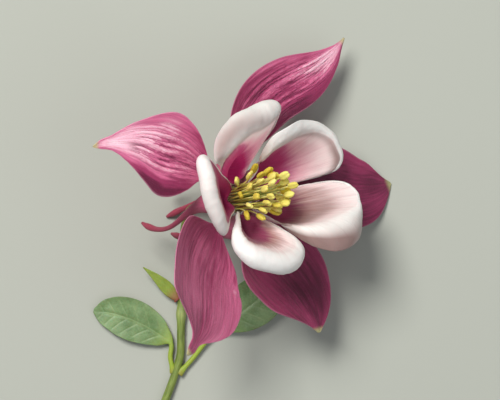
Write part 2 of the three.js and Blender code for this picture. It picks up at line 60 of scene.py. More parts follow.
receptacle_points = [1000 * np.array(vertex.co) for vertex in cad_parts["receptacle"].data.vertices]
HEART = max(receptacle_points, key=AXIS.dot) - RECEPTACLE_TOP * AXIS


def in_flower(points, at=0.0):
    """Points with x outwards, y sideways and z along the flower's axis, turned to their place round it."""
    turn = math.radians(at)
    outward = math.cos(turn) * OUTWARD + math.sin(turn) * SIDEWAYS
    sideways = math.cos(turn) * SIDEWAYS - math.sin(turn) * OUTWARD
    return HEART + points @ np.array([outward, sideways, AXIS])


def through(x, at, values):
    """Smooth curve through values, which are numbers or points, at the places at."""
    at = np.asarray(at, float)
    values = np.asarray(values, float)
    slope = np.gradient(values, at, axis=0)
    i = np.clip(np.searchsorted(at, x) - 1, 0, len(at) - 2)
    step = at[i + 1] - at[i]
    t = np.clip((x - at[i]) / step, 0, 1)
    if values.ndim > 1:
        t = t[..., None]
        step = step[..., None]
    return ((1 + 2 * t) * (1 - t) ** 2 * values[i] + t * (1 - t) ** 2 * step * slope[i]
            + t * t * (3 - 2 * t) * values[i + 1] + t * t * (t - 1) * step * slope[i + 1])


def ease(low, high, x):
    """0 below low, 1 above high, and a smooth rise between them."""
    t = np.clip((x - low) / (high - low), 0, 1)
    return t * t * (3 - 2 * t)


def bell(x, width):
    """1 at 0, falling softly to 0 on either side."""
    return np.exp(-(x / width) ** 2)


def spots(x, y, places):
    """Sum of soft spots. Each has a place in x and y, a length in x, a width in y and a strength."""
    return sum(strength * bell(x - at_x, length) * bell(y - at_y, width)
               for at_x, at_y, length, width, strength in places)


def unit(vectors):
    return vectors / np.maximum(np.linalg.norm(vectors, axis=-1, keepdims=True), 1e-9)


def stacked(*parts):
    """Points or vectors from their parts, which are arrays or numbers."""
    return np.stack(np.broadcast_arrays(*parts), axis=-1)


def grain(*places):
    """Soft noise between about -1 and 1 for arrays of places."""
    places = stacked(*places)
    values = [noise.noise(Vector(place)) for place in places.reshape(-1, 3)]
    return np.array(values).reshape(places.shape[:-1])


def circle(count):
    """Angles all the way round."""
    return np.linspace(0, 2 * math.pi, count, endpoint=False)


def round_grain(scale, turn, height):
    """Soft noise round a body, which closes on itself."""
    return grain(scale * np.cos(turn), scale * np.sin(turn), height)


def round_flow(radius, turn, height, shift=0):
    """Place of each point of a round body in the patterns that run along it."""
    return stacked(radius * np.cos(turn), height, radius * np.sin(turn) + shift)


def linked(name, data):
    made = bpy.data.objects.new(name, data)
    bpy.context.collection.objects.link(made)
    return made


def carry(mesh, mark, values):
    """Gives each point of a mesh a number or a vector by that name."""
    vector = values.ndim > 1
    attribute = mesh.attributes.new(mark, "FLOAT_VECTOR" if vector else "FLOAT", "POINT")
    attribute.data.foreach_set("vector" if vector else "value", values.astype(np.float32).ravel())


def closed_skin(name, rings, finish, marks):
    """Closed body through rings of points in millimetres. marks are named values for each point."""
    count, around = rings.shape[:2]
    vertices = np.vstack([rings[0].mean(0), rings.reshape(-1, 3), rings[-1].mean(0)])
    k = np.arange(around)
    after = (k + 1) % around
    rows = 1 + around * np.arange(count - 1)[:, None]
    quads = stacked(rows + k, rows + after, rows + around + after, rows + around + k)
    last = 1 + around * (count - 1)
    fans = [(0, 1 + b, 1 + a) for a, b in zip(k, after)]
    fans += [(last + a, last + b, last + around) for a, b in zip(k, after)]
    mesh = bpy.data.meshes.new(name)
    mesh.from_pydata((vertices * 0.001).tolist(), [], quads.reshape(-1, 4).tolist() + fans)
    mesh.polygons.foreach_set("use_smooth", [True] * len(mesh.polygons))
    for mark, values in marks.items():
        values = np.broadcast_to(values, rings.shape[:2] + np.shape(values)[2:])
        every = values.reshape((-1,) + values.shape[2:])
        carry(mesh, mark, np.concatenate([values[:1, 0], every, values[-1:, 0]]))
    mesh.materials.append(finish.material)
    return linked(name, mesh)


def settle(piece, slot, *nodes):
    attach(piece, "root")
    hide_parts(*nodes)


def colour(code):
    """Linear colour of a display colour such as "a0c040"."""
    channels = [int(code[i:i + 2], 16) / 255 for i in (0, 2, 4)]
    return tuple(c / 12.92 if c < 0.04045 else ((c + 0.055) / 1.055) ** 2.4 for c in channels) + (1.0,)


class Wire:
    """An output in a node tree. Its operators add the Math nodes of an expression."""

    def __init__(self, nodes, socket):
        self.nodes = nodes
        self.socket = socket

    def maths(self, operation, *values):
        return self.nodes.add("ShaderNodeMath", {"operation": operation}, dict(enumerate(values)))

    def __add__(self, other):
        return self.maths("ADD", self, other)

    def __sub__(self, other):
        return self.maths("SUBTRACT", self, other)

    def __rsub__(self, other):
        return self.maths("SUBTRACT", other, self)

    def __mul__(self, other):
        return self.maths("MULTIPLY", self, other)

    def __abs__(self):
        return self.maths("ABSOLUTE", self)

    __radd__ = __add__
    __rmul__ = __mul__


class Nodes:
    """A node tree that is being built."""

    def __init__(self, tree):
        self.tree = tree

    def feed(self, socket, value):
        if isinstance(value, Wire):
            self.tree.links.new(value.socket, socket)
        else:
            socket.default_value = value

    def add(self, kind, settings, sockets, output=0):
        """Adds a node, and returns its output of that name or place. sockets go by place or identifier."""
        made = self.tree.nodes.new(kind)
        for name, value in settings.items():
            setattr(made, name, value)
        by_identifier = {socket.identifier: socket for socket in made.inputs}
        for key, value in sockets.items():
            self.feed(made.inputs[key] if isinstance(key, int) else by_identifier[key], value)
        return Wire(self, made.outputs[output])


class Finish(Nodes):
    """A procedural material. even holds the shader values that are the same all over the surface."""

    def __init__(self, name, even):
        self.material = bpy.data.materials.new(name)
        self.material.use_nodes = True
        super().__init__(self.material.node_tree)
        self.shader = self.tree.nodes["Principled BSDF"]
        for socket, value in even.items():
            self.shader.inputs[socket].default_value = value

    def __getitem__(self, name):
        """A value that the mesh carries at each point."""
        return self.add("ShaderNodeAttribute", {"attribute_name": name}, {}, "Fac")

    def ease(self, low, high, value):
        sockets = {"Value": value, "From Min": low, "From Max": high}
        return self.add("ShaderNodeMapRange", {"interpolation_type": "SMOOTHSTEP"}, sockets)

    def noise(self, place, scale, detail=2.0, distortion=0.0):
        sockets = {"Vector": place, "Scale": scale, "Detail": detail, "Distortion": distortion}
        return self.add("ShaderNodeTexNoise", {}, sockets, "Fac")

    def pattern(self, stretch, scale, detail=2.0, distortion=0.0, shift=0.0):
        """Noise that follows the flow of the mesh, stretched, and shifted to differ from the others."""
        flow = self.add("ShaderNodeAttribute", {"attribute_name": "flow"}, {}, "Vector")
        scaled = self.add("ShaderNodeVectorMath", {"operation": "MULTIPLY"}, {0: flow, 1: stretch})
        place = self.add("ShaderNodeVectorMath", {"operation": "ADD"}, {0: scaled, 1: (shift,) * 3})
        return self.noise(place, scale, detail, distortion)

    def mix(self, factor, first, second):
        """A mix of two colours, which are wires or display colours."""
        first, second = (colour(tint) if isinstance(tint, str) else tint for tint in (first, second))
        sockets = {"Factor_Float": factor, "A_Color": first, "B_Color": second}
        return self.add("ShaderNodeMix", {"data_type": "RGBA"}, sockets, 2)

    def blend(self, value, *stops):
        """Colour along a scale: stops are pairs of a value and a display colour."""
        result = stops[0][1]
        for (low, _), (high, code) in zip(stops, stops[1:]):
            result = self.mix(self.ease(low, high, value), result, code)
        return result

    def surface(self, base, roughness, height, depth):
        """Links what varies: colour, roughness and relief. Its height is multiplied by depth in metres."""
        bump = self.add("ShaderNodeBump", {}, {"Height": height, "Distance": depth})
        for socket, value in (("Base Color", base), ("Roughness", roughness), ("Normal", bump)):
            self.feed(self.shader.inputs[socket], value)
        return self

    def glow(self, tint, strength):
        """A painted glow: emission that stands in for light from behind coming through thin tissue."""
        self.feed(self.shader.inputs["Emission Color"], tint)
        self.shader.inputs["Emission Strength"].default_value = strength


def tissue(name, share, depth, shine, **others):
    """The finish of living tissue. A share of the light goes in, to that depth in metres."""
    even = {"Subsurface Weight": share, "Subsurface Scale": depth, "Specular IOR Level": shine}
    return Finish(name, even | others)


def green_finish(name, light, dark, blush):
    """Smooth green tissue with fine streaks along it, and a blush of red where the mesh says so."""
    look = tissue(name, 0.12, 0.001, 0.45)
    streaks = look.pattern((1, 0.12, 1), 2.6, 3)
    clouds = look.pattern((1, 0.7, 1), 0.35, shift=7)
    base = look.mix(look.ease(0.3, 0.72, streaks * 0.55 + clouds * 0.45), dark, light)
    base = look.mix(look["blush"] * 0.85, base, blush)
    base = look.mix(look["pale"], base, "c3cf8d")
    cells = look.pattern((1, 0.35, 1), 9, shift=3)
    return look.surface(base, 0.36 + streaks * 0.2, cells * 0.4 + streaks * 0.6, 0.00012)


receptacle_finish = green_finish("receptacle skin", "a3b35c", "6d8338", "8c4a50")
turn = circle(60)
outline_places = np.linspace(0, 1, len(RECEPTACLE_OUTLINE))
reach, height = through(np.linspace(0, 1, 40), outline_places, RECEPTACLE_OUTLINE).T[..., None]
lobes = 1 + 0.035 * np.cos(5 * turn) * ease(-1.5, 0.3, height) + 0.02 * round_grain(3, turn, height)
rings = in_flower(stacked(reach * lobes * np.cos(turn), reach * lobes * np.sin(turn), height))
settle(closed_skin("receptacle_knob", rings, receptacle_finish, {
    "flow": round_flow(3, turn, height),
    "blush": 0.5 * ease(-0.5, 0.6, height), "pale": 0.4 * ease(0.8, 1.2, height),
}), "receptacle", "receptacle")


# The stem: a juicy green stalk with shallow ribs. It leaves the receptacle backwards, bends down to the
# surface and lies on it. A swollen joint bears the bract, and the far end is cut with a knife.

PEDICEL_RADIUS = 0.85  # just behind the flower
STEM_RADIUS = 0.9
STEM_REST = 1.05  # height of its middle where it lies
RECEPTACLE_BACK = 2.15  # from the heart to the stem's start
FLOWER_HEIGHT = 20.85  # of the heart above the surface
NODE_AT = 0.245  # of the stem's length
NODE_SWELLING = 0.28
STEM_LYING = [
    (-11.7, -20.5), (-12.0, -25.6), (-12.1, -31), (-12.2, -35.5), (-13.2, -39.2), (-14.5, -43), (-16, -47),
    (-19, -60), (-20.5, -80), (-19, -102), (-15, -125), (-10, -148),
]
STEM_RINGS, STEM_SIDES = 460, 28
# The rings of the cut face: how far each rises past the cut, and its inset as a share of the radius.
STEM_CUT = ((-0.01, 0.05), (0, 0.16), (-0.08, 0.24), (-0.15, 0.45), (-0.17, 0.7))
FOOT = HEART - FLOWER_HEIGHT * UPRIGHT  # the point on the surface below the heart


def sampled(x, at, points):
    """Places on straight lines between points, which lie at the values at."""
    return stacked(*(np.interp(x, at, column) for column in points.T))


def follow(points, steps):
    """Evenly spaced places, directions and distances along a smooth curve through points."""
    points = np.array(points, float)
    chords = np.concatenate([[0], np.cumsum(np.linalg.norm(np.diff(points, axis=0), axis=1))])
    fine = through(np.linspace(0, chords[-1], 40 * len(points)), chords, points)
    passed = np.concatenate([[0], np.cumsum(np.linalg.norm(np.diff(fine, axis=0), axis=1))])
    along = np.linspace(0, passed[-1], steps)
    places = sampled(along, passed, fine)
    return places, unit(np.gradient(places, axis=0)), along


def frames_along(ahead):
    """Two directions across a path at each step, carried along it without twist."""
    across = [unit(np.cross(ahead[0], UPRIGHT))]
    for direction in ahead[1:]:
        across.append(unit(across[-1] - direction * direction.dot(across[-1])))
    across = np.array(across)
    return across, np.cross(ahead, across)


def tube(path, ahead, radius, turn):
    across, up = frames_along(ahead)
    around = np.cos(turn)[:, None] * across[:, None] + np.sin(turn)[:, None] * up[:, None]
    return path[:, None] + radius[..., None] * around


stem_finish = green_finish("stem skin", "8a9c46", "5a6c2b", "7a3a3c")
stem_points = [-distance * AXIS + FLOWER_HEIGHT * UPRIGHT for distance in (RECEPTACLE_BACK, 6, 11, 15.5)]
stem_points += [(-11.0, -5.5, 6), (-11.4, -10.5, 2.6), (-11.4, -15.5, 1.2)]
stem_points += [(x, y, STEM_REST) for x, y in STEM_LYING]
path, ahead, along = follow(stem_points, STEM_RINGS)
turn = circle(STEM_SIDES)
share = (along / along[-1])[:, None]
node = bell((share - NODE_AT) * along[-1], 1.5)
radius = PEDICEL_RADIUS + (STEM_RADIUS - PEDICEL_RADIUS) * ease(0, 0.2, share) + NODE_SWELLING * node
along = along[:, None]
ribs = 0.03 * np.cos(7 * turn + 1.5 * np.sin(along / 21)) + 0.015 * np.cos(12 * turn + along / 17)
radius = radius * (1 + ribs + 0.05 * round_grain(0.8, turn, along / 6))
rings = FOOT + tube(path, ahead, radius, turn)
# On the cut face the rind stands up, and the pith inside has dried back a little.
middle = rings[-1].mean(0)
cut = [rings[-1] + ahead[-1] * rise + (middle - rings[-1]) * inset for rise, inset in STEM_CUT]
rings = np.concatenate([rings, cut])
rings[..., 2] = np.maximum(rings[..., 2], 0)  # it lies on its lowest line
blush = 0.75 * (1 - ease(0.03, 0.2, share)) * ease(-0.2, 0.5, round_grain(1, turn, along / 4))
settle(closed_skin("stem_stalk", rings, stem_finish, {
    "flow": round_flow(2, turn, np.concatenate([along] + [along[-1:]] * len(cut))),
    "blush": np.concatenate([blush, np.zeros((len(cut), STEM_SIDES))]),
    "pale": np.concatenate([0.3 * node, [[0]], [[0.9]] * (len(cut) - 1)]),
}), "stem", "stem")


# The leaves and the bract: soft blades on thin stalks, whose feet clasp the stem. Each has a sunk midrib
# with side veins that curve forwards, and a slightly wavy margin.

# Each one: full width, the share of its path that is stalk, how far it is cupped in degrees, the widths
# of its blade at these shares of it, and the path from the stem to its tip, measured from FOOT.
LEAVES = [
    dict(name="leaf_left", width=9.6, stalk=0.26, cup=14, seed=3.1, veins=7, rows=130, columns=60,
         at=(0, 0.12, 0.35, 0.55, 0.8, 0.93, 1), widths=(0.12, 0.5, 0.9, 1, 0.78, 0.46, 0.1),
         path=[(-13.7, -39.6, 1.1), (-14.5, -36.2, 1.2), (-14.4, -32.8, 1.4), (-17, -30.8, 1.5),
               (-22.5, -27.8, 1.6), (-27, -26.2, 1.5), (-32.1, -25.4, 1)]),
    dict(name="leaf_right", width=11, stalk=0.4, cup=12, seed=8.4, veins=8, rows=130, columns=60,
         at=(0, 0.15, 0.4, 0.6, 0.82, 0.94, 1), widths=(0.12, 0.5, 0.92, 1, 0.78, 0.42, 0.1),
         path=[(-12.6, -39.9, 1.1), (-9.4, -36.4, 1.1), (-6.4, -32.6, 1.3), (-2.4, -28.8, 1.7),
               (2.5, -25.2, 2.3), (7, -21.6, 2.6), (10.6, -17.2, 2.2)]),
    dict(name="bract", width=2.9, stalk=0.05, cup=25, seed=5.7, veins=4, rows=70, columns=22,
         at=(0, 0.2, 0.35, 0.6, 0.85, 1), widths=(0.6, 0.95, 1, 0.7, 0.3, 0.05),
         path=[(-12.8, -22.9, 1.3), (-15, -20.4, 2), (-17.5, -17.9, 3), (-20.6, -15.4, 3.9)]),
]
STALK_RADIUS = 0.55
LEAF_THICKNESS = 0.5


def across_places(columns):
    """Places across a blade from -1 to 1, closer together towards its margins."""
    even = np.linspace(-1, 1, columns)
    return 0.6 * even + 0.4 * np.sin(even * math.pi / 2)


def blade_rings(middle, half_thickness, edge):
    """Closed sections round a sheet's middle surface. edge is the margin's share of the thickness."""
    columns = middle.shape[1]
    x = across_places(columns)
    normal = unit(np.cross(np.gradient(middle, axis=0), np.gradient(middle, axis=1)))
    thick = half_thickness * (edge + (1 - edge) * np.sqrt(np.maximum(0, 1 - x * x)))
    lower = middle - normal * thick[..., None]
    upper = middle + normal * thick[..., None]
    return np.concatenate([lower, upper[:, ::-1]], axis=1)


def both_faces(shape, **marks):
    """Marks of a sheet's middle surface, for its lower and then its upper face."""
    both = {"upper": np.repeat([[0, 1]], shape[1], axis=1)}
    for name, values in marks.items():
        values = np.broadcast_to(values, shape + np.shape(values)[2:])
        both[name] = np.concatenate([values, values[:, ::-1]], axis=1)
    return both


def leaf_finish():
    look = tissue("leaf skin", 0.15, 0.0015, 0.4)
    clouds = look.pattern((1, 1, 1), 0.22, 3)
    cells = look.pattern((1, 1, 1), 2.4, 3)
    base = look.mix(look.ease(0.3, 0.7, clouds * 0.7 + cells * 0.3), "587544", "7f9a68")
    base = look.mix(look["vein"] * 0.3, base, "a3b682")
    base = look.mix(look["foot"], base, "93a838")
    base = look.mix(look["blush"], base, "8f4a42")
    base = look.mix((1 - look["upper"]) * 0.5, base, "a9bb96")
    return look.surface(base, 0.5 - look["vein"] * 0.1, cells * 0.5 + look["vein"] * -0.5, 0.0001)


leaf_skin = leaf_finish()
for leaf in LEAVES:
    small = leaf["name"] == "bract"
    path, ahead, distance = follow(leaf["path"], leaf["rows"])
    distance = distance[:, None]
    s = distance / distance[-1]
    x = across_places(leaf["columns"])
    blade_share = np.clip((s - leaf["stalk"]) / (1 - leaf["stalk"]), 0, 1)
    blade = leaf["width"] / 2 * through(blade_share, leaf["at"], leaf["widths"]) * (s > leaf["stalk"])
    stalk = STALK_RADIUS * np.where(s > leaf["stalk"], 1 - blade_share, 1 + 0.7 * (1 - ease(0, 0.08, s)))
    half = np.maximum(np.maximum(blade, stalk), 0.12)
    thin = ease(leaf["stalk"] * 0.9, leaf["stalk"] + 0.25, s)
    half_thickness = STALK_RADIUS + (LEAF_THICKNESS / 2 - STALK_RADIUS) * thin
    side = unit(np.cross(UPRIGHT, ahead))[:, None]
    up = np.cross(ahead[:, None], side)
    cup = np.maximum(math.radians(leaf["cup"]) * thin, 0.01)
    radius = half / cup
    across = radius * np.sin(cup * x)
    # Side veins leave the midrib in pairs and curve towards the tip.
    vein_place = blade_share * leaf["veins"] - np.abs(x) ** 0.8 * 1.5 * half / leaf["width"] * 2
    vein = bell(vein_place - np.round(vein_place), 0.09)
    vein = vein * ease(0.02, 0.15, np.abs(x)) * (1 - ease(0.7, 0.98, np.abs(x)))
    vein = vein * ease(0.02, 0.15, blade_share) * (1 - ease(0.9, 1, blade_share))
    midrib = bell(across, 0.38) * (1 - ease(0.8, 1, blade_share))
    ripple = 0.35 * x ** 2 * grain(np.sign(x) * 3 + leaf["seed"], s * 7, 0) * half / 4
    swell = 0.12 * grain(across / 2.2, distance / 2.2, leaf["seed"])
    relief = (ripple + swell - 0.07 * vein - 0.22 * midrib * (not small)) * thin
    lift = radius * (1 - np.cos(cup * x)) + relief
    middle = FOOT + path[:, None] + side * across[..., None] + up * lift[..., None]
    rings = blade_rings(middle, half_thickness, 0.3 * thin)
    marks = both_faces(
        middle.shape[:2], flow=stacked(across, distance, leaf["seed"]),
        vein=np.maximum(vein * 0.7, midrib) * thin,
        foot=np.maximum(1 - ease(leaf["stalk"] * 0.6, leaf["stalk"] + 0.22, s), 0.75 * small),
        blush=0.8 * small * (1 - ease(0.05, 0.35, s)) + 0.35 * (1 - ease(0, 0.06, s)))
    skin = closed_skin(leaf["name"] + "_blade", rings, leaf_skin, marks)
    settle(skin, "bract" if small else "leaf", leaf["name"])


# The five sepals: pointed rose-purple sheets on narrow claws below the petals. They are soft tissue less
# than half a millimetre thick, with veins from claw to tip, creased lengthwise where they have folded.

# Each one: place round the axis, length and width, rise and cup at foot, middle and tip, sideways bend at
# 0.3, 0.6 and tip, roll about its length, lean of its broad part, and multiples of its width at 0.3, 0.5,
# 0.72, 0.88 and 0.96. The crease has a middle and half width across, and a start and end along. The margin
# at -1 or 1 droops. tone is how pale it is, and lit the strength of a painted glow that stands in
# for light coming through the tissue. patches are spots along and across it that are paler, or darker where
# their strength is negative: partly the sepal's own colour, partly painted highlights and painted shade.
SEPALS = [
    dict(name="sepal_top", at=64.5, length=47, width=14.5, rise=(4, 14, 20), bend=(-6, -50, -14),
         roll=-14, cup=(20, 25, 15), lean=-0.1, widths=(0.76, 0.94, 0.8, 0.36, 0.1),
         crease=(0, 0.7, 0.1, 0.97), depth=0.2, droop=(-1, 0.9), tone=0.3, lit=0,
         patches=((0.92, 0.1, 0.12, 0.9, 0.7), (0.76, 0.1, 0.1, 0.45, 0.4), (0.6, -0.85, 0.4, 0.3, -0.26),
                  (0.6, 0.95, 0.3, 0.2, 0.25)),
         seed=11.3, columns=116),
    dict(name="sepal_right", at=-2, length=40, width=21, rise=(11.5, 12.6, 8), bend=(3, -20, 22),
         roll=11, cup=(20, 18, 10), lean=0, widths=(0.79, 0.97, 0.8, 0.54, 0.2),
         crease=(0, 0.9, 0.3, 1), depth=0.03, droop=(1, 0.2), tone=0.17, lit=0,
         patches=((0.5, 0.85, 0.4, 0.3, 0.15), (0.25, 0, 0.2, 0.8, -0.1)),
         seed=23.9, columns=76),
    dict(name="sepal_lower_right", at=-71.5, length=34, width=21, rise=(10, 6, 6),
         bend=(11, 14, -24), roll=2, cup=(20, 20, 15), lean=0, widths=(0.9, 1, 0.82, 0.46, 0.16),
         crease=(0, 0.9, 0.3, 1), depth=0.03, droop=(1, 0.2), tone=0.28, lit=0,
         patches=((0.8, 0.4, 0.25, 0.6, -0.3), (0.45, 0.95, 0.4, 0.15, 0.2)),
         seed=37.2, columns=76),
    dict(name="sepal_lower_left", at=-140.8, length=39, width=21.5, rise=(10, 8, 12),
         bend=(2, 31.6, -11.6), roll=-17.3, cup=(20, 20, 15), lean=0.05,
         widths=(0.98, 1.25, 1.11, 0.18, 0.1),
         crease=(-0.1, 0.8, 0.15, 0.9), depth=0.05, droop=(1, 0.3), tone=0.5, lit=0.03,
         patches=((0.16, 0, 0.12, 0.9, -0.1), (0.25, -0.5, 0.1, 0.4, -0.08), (0.6, 0.85, 0.4, 0.25, 0.2),
                  (0.6, -0.3, 0.2, 0.4, 0.15)),
         seed=41.7, columns=84),
    dict(name="sepal_left", at=136.5, length=46, width=19, rise=(18, 14, 8), bend=(19, 25, 48),
         roll=-8, cup=(25, 25, 15), lean=0.1, widths=(0.66, 1, 0.55, 0.17, 0.09),
         crease=(-0.05, 0.6, 0.12, 0.8), depth=0.22, droop=(1, 0.9), tone=0.5, lit=0.42,
         patches=((0.74, -0.1, 0.15, 0.9, 0.5), (0.9, 0, 0.12, 1, 0.5), (0.5, 0.45, 0.12, 0.2, 0.2),
                  (0.5, -0.6, 0.2, 0.35, 0.2), (0.52, 1, 0.22, 0.3, -0.85), (0.22, 0, 0.12, 1, -0.12),
                  (0.2, 0.75, 0.12, 0.3, 0.25)),
         seed=58.6, columns=120),
]
CLAW_WIDTH = (0.06, 0.065)  # of the width, at the foot and at 0.13 of the length
CLAW_FOOT = (2.6, 0, -0.6)
SEPAL_THICKNESS = 0.5
SEPAL_STEP = 0.19  # between its rows of points


def sepal_finish():
    look = tissue("sepal skin", 0.18, 0.0016, 0.35, **{
        "Subsurface Radius": (1, 0.35, 0.45), "Sheen Weight": 0.12, "Sheen Roughness": 0.5})
    streaks = look.pattern((1, 0.1, 1), 1.5, 3, 0.3)
    veins = 1 - look.ease(0, 0.09, abs(look.pattern((1, 0.05, 1), 0.8, 1, shift=4) - 0.5))
    clouds = look.pattern((1, 0.6, 1), 0.16, shift=9)
    cells = look.pattern((1, 0.8, 1), 3.4, shift=2)
    crinkles = look.pattern((1, 0.16, 1), 2.8, 2, 0.3, 6)
    grooves = (1 - look.ease(0, 0.1, abs(crinkles - 0.5))) * look["creased"]
    # Painted shade darkens the grooves of the crinkles.
    tone = look["tone"] + clouds * 0.5 + streaks * 0.5 - 0.5 - grooves * 0.16
    base = look.blend(
        tone, (0, "5c1234"), (0.35, "95305a"), (0.7, "cb668c"), (1.1, "f4b8ca"), (1.5, "fbdfe7"))
    base = look.mix(veins * 0.2, base, "7a1c47")
    # Painted shade in the valleys of the creases.
    base = look.mix(look["fold"] * 0.7, base, "5c1236")
    base = look.mix(look.ease(0.95, 1.0, abs(look["across"])) * 0.25, base, "d8a0b4")
    base = look.mix((1 - look["upper"]) * 0.4, base, "b7698c")
    base = look.mix(look["tip"], base, "b9b97e")
    # A painted glow, as strong as the mesh says, standing in for light through the thin sepal.
    look.glow(look.mix(look["lit"], "000000", base), 1.0)
    relief = cells * 0.6 + streaks * 0.3 - veins * 0.2 - grooves * 0.4
    return look.surface(base, 0.46 + cells * 0.14, relief, 0.00016)


sepal_skin = sepal_finish()
for sepal in SEPALS:
    rows = int(sepal["length"] / SEPAL_STEP)
    s = np.linspace(0, 1, rows)
    x = across_places(sepal["columns"])
    rise = np.radians(through(s, (0, 0.5, 1), sepal["rise"]))
    bend = np.radians(through(s, (0, 0.12, 0.3, 0.6, 1), (0, 0) + sepal["bend"]))
    direction = stacked(np.cos(rise) * np.cos(bend), np.cos(rise) * np.sin(bend), np.sin(rise))
    steps = (direction[1:] + direction[:-1]) / 2 * sepal["length"] / (rows - 1)
    spine = np.array(CLAW_FOOT) + np.concatenate([np.zeros((1, 3)), np.cumsum(steps, axis=0)])
    flat = stacked(-np.sin(bend), np.cos(bend), 0)
    normal = np.cross(direction, flat)
    roll = np.radians(through(s, (0, 0.5, 1), (0, sepal["roll"], sepal["roll"])))[:, None]
    side = (flat * np.cos(roll) + normal * np.sin(roll))[:, None]
    up = (normal * np.cos(roll) - flat * np.sin(roll))[:, None]
    widths = CLAW_WIDTH + sepal["widths"] + (0.02,)
    half = (sepal["width"] / 2 * through(s, (0, 0.13, 0.3, 0.5, 0.72, 0.88, 0.96, 1), widths))[:, None]
    cup = np.radians(through(s, (0, 0.5, 1), sepal["cup"]))[:, None]
    s = s[:, None]
    distance = s * sepal["length"]
    seed = sepal["seed"]
    radius = half / cup
    across = radius * np.sin(cup * x) + sepal["lean"] * 8 * (s * (1 - s)) ** 2 * half
    # Lines from claw to tip spread with the sheet, but less than it does.
    line = x * (0.5 * half + 0.5 * sepal["width"] / 2)
    warp = 0.6 * grain(line / 5, distance / 9, seed) + 0.1 * grain(line / 1.1, distance / 1.5, seed + 3)
    centre, spread, first, final = sepal["crease"]
    mask = np.exp(-(((x - centre) / spread) ** 4))
    mask = mask * ease(first, first + 0.2, s) * (1 - ease(final - 0.12, final, s))
    long_folds = grain((line + warp) / 0.7, distance / 15, seed + 5)
    come_and_go = ease(-0.4, 0.2, grain(line / 1.8, distance / 5, seed + 9))
    fold = bell(long_folds, 0.16) * come_and_go * mask
    puff = (0.25 + np.abs(long_folds)) * mask
    vein = bell(grain(line / 1.5, distance / 16, seed + 2), 0.12) * ease(0.1, 0.3, s)
    pebbles = 0.03 * grain(line / 0.42, distance / 0.6, seed) * ease(0.15, 0.3, s)
    waves = 0.25 * grain(line / 5, distance / 9, seed + 7) * ease(0.1, 0.3, s)
    margin_side, margin_drop = sepal["droop"]
    droop = -margin_drop * ease(0.4, 1.1, x * margin_side) ** 1.5 * half / 6
    edge_wave = 0.3 * x ** 4 * grain(np.sign(x) * 4 + seed, distance / 5, 0) * ease(0.15, 0.3, s)
    relief = sepal["depth"] * (puff - fold) - 0.03 * vein
    lift = radius * (1 - np.cos(cup * x)) + droop + waves + edge_wave + pebbles + relief
    middle = in_flower(spine[:, None] + side * across[..., None] + up * lift[..., None], sepal["at"])
    half_thickness = 0.85 * SEPAL_THICKNESS / 2 * np.minimum(1, 0.4 + half / 2)
    # Paler on the ridges between the creases and darker in their valleys: painted light and shade on the
    # relief.
    tone = sepal["tone"] + 0.7 * (puff - 0.3 * mask) * min(1, sepal["depth"] / 0.15)
    # The patches: partly the sepal's own colour, partly painted highlights and painted shade.
    tone = tone + spots(s, x, sepal["patches"])
    creased = min(1, sepal["depth"] / 0.2)
    marks = both_faces(
        middle.shape[:2], flow=stacked(line, distance, seed), across=x, tone=tone,
        fold=np.clip(fold * creased, 0, 1), creased=mask * creased, lit=sepal["lit"],
        tip=0.8 * ease(0.955, 0.99, s))
    rings = blade_rings(middle, half_thickness, 0.35)
    settle(closed_skin(sepal["name"] + "_sheet", rings, sepal_skin, marks), "sepal", sepal["name"])
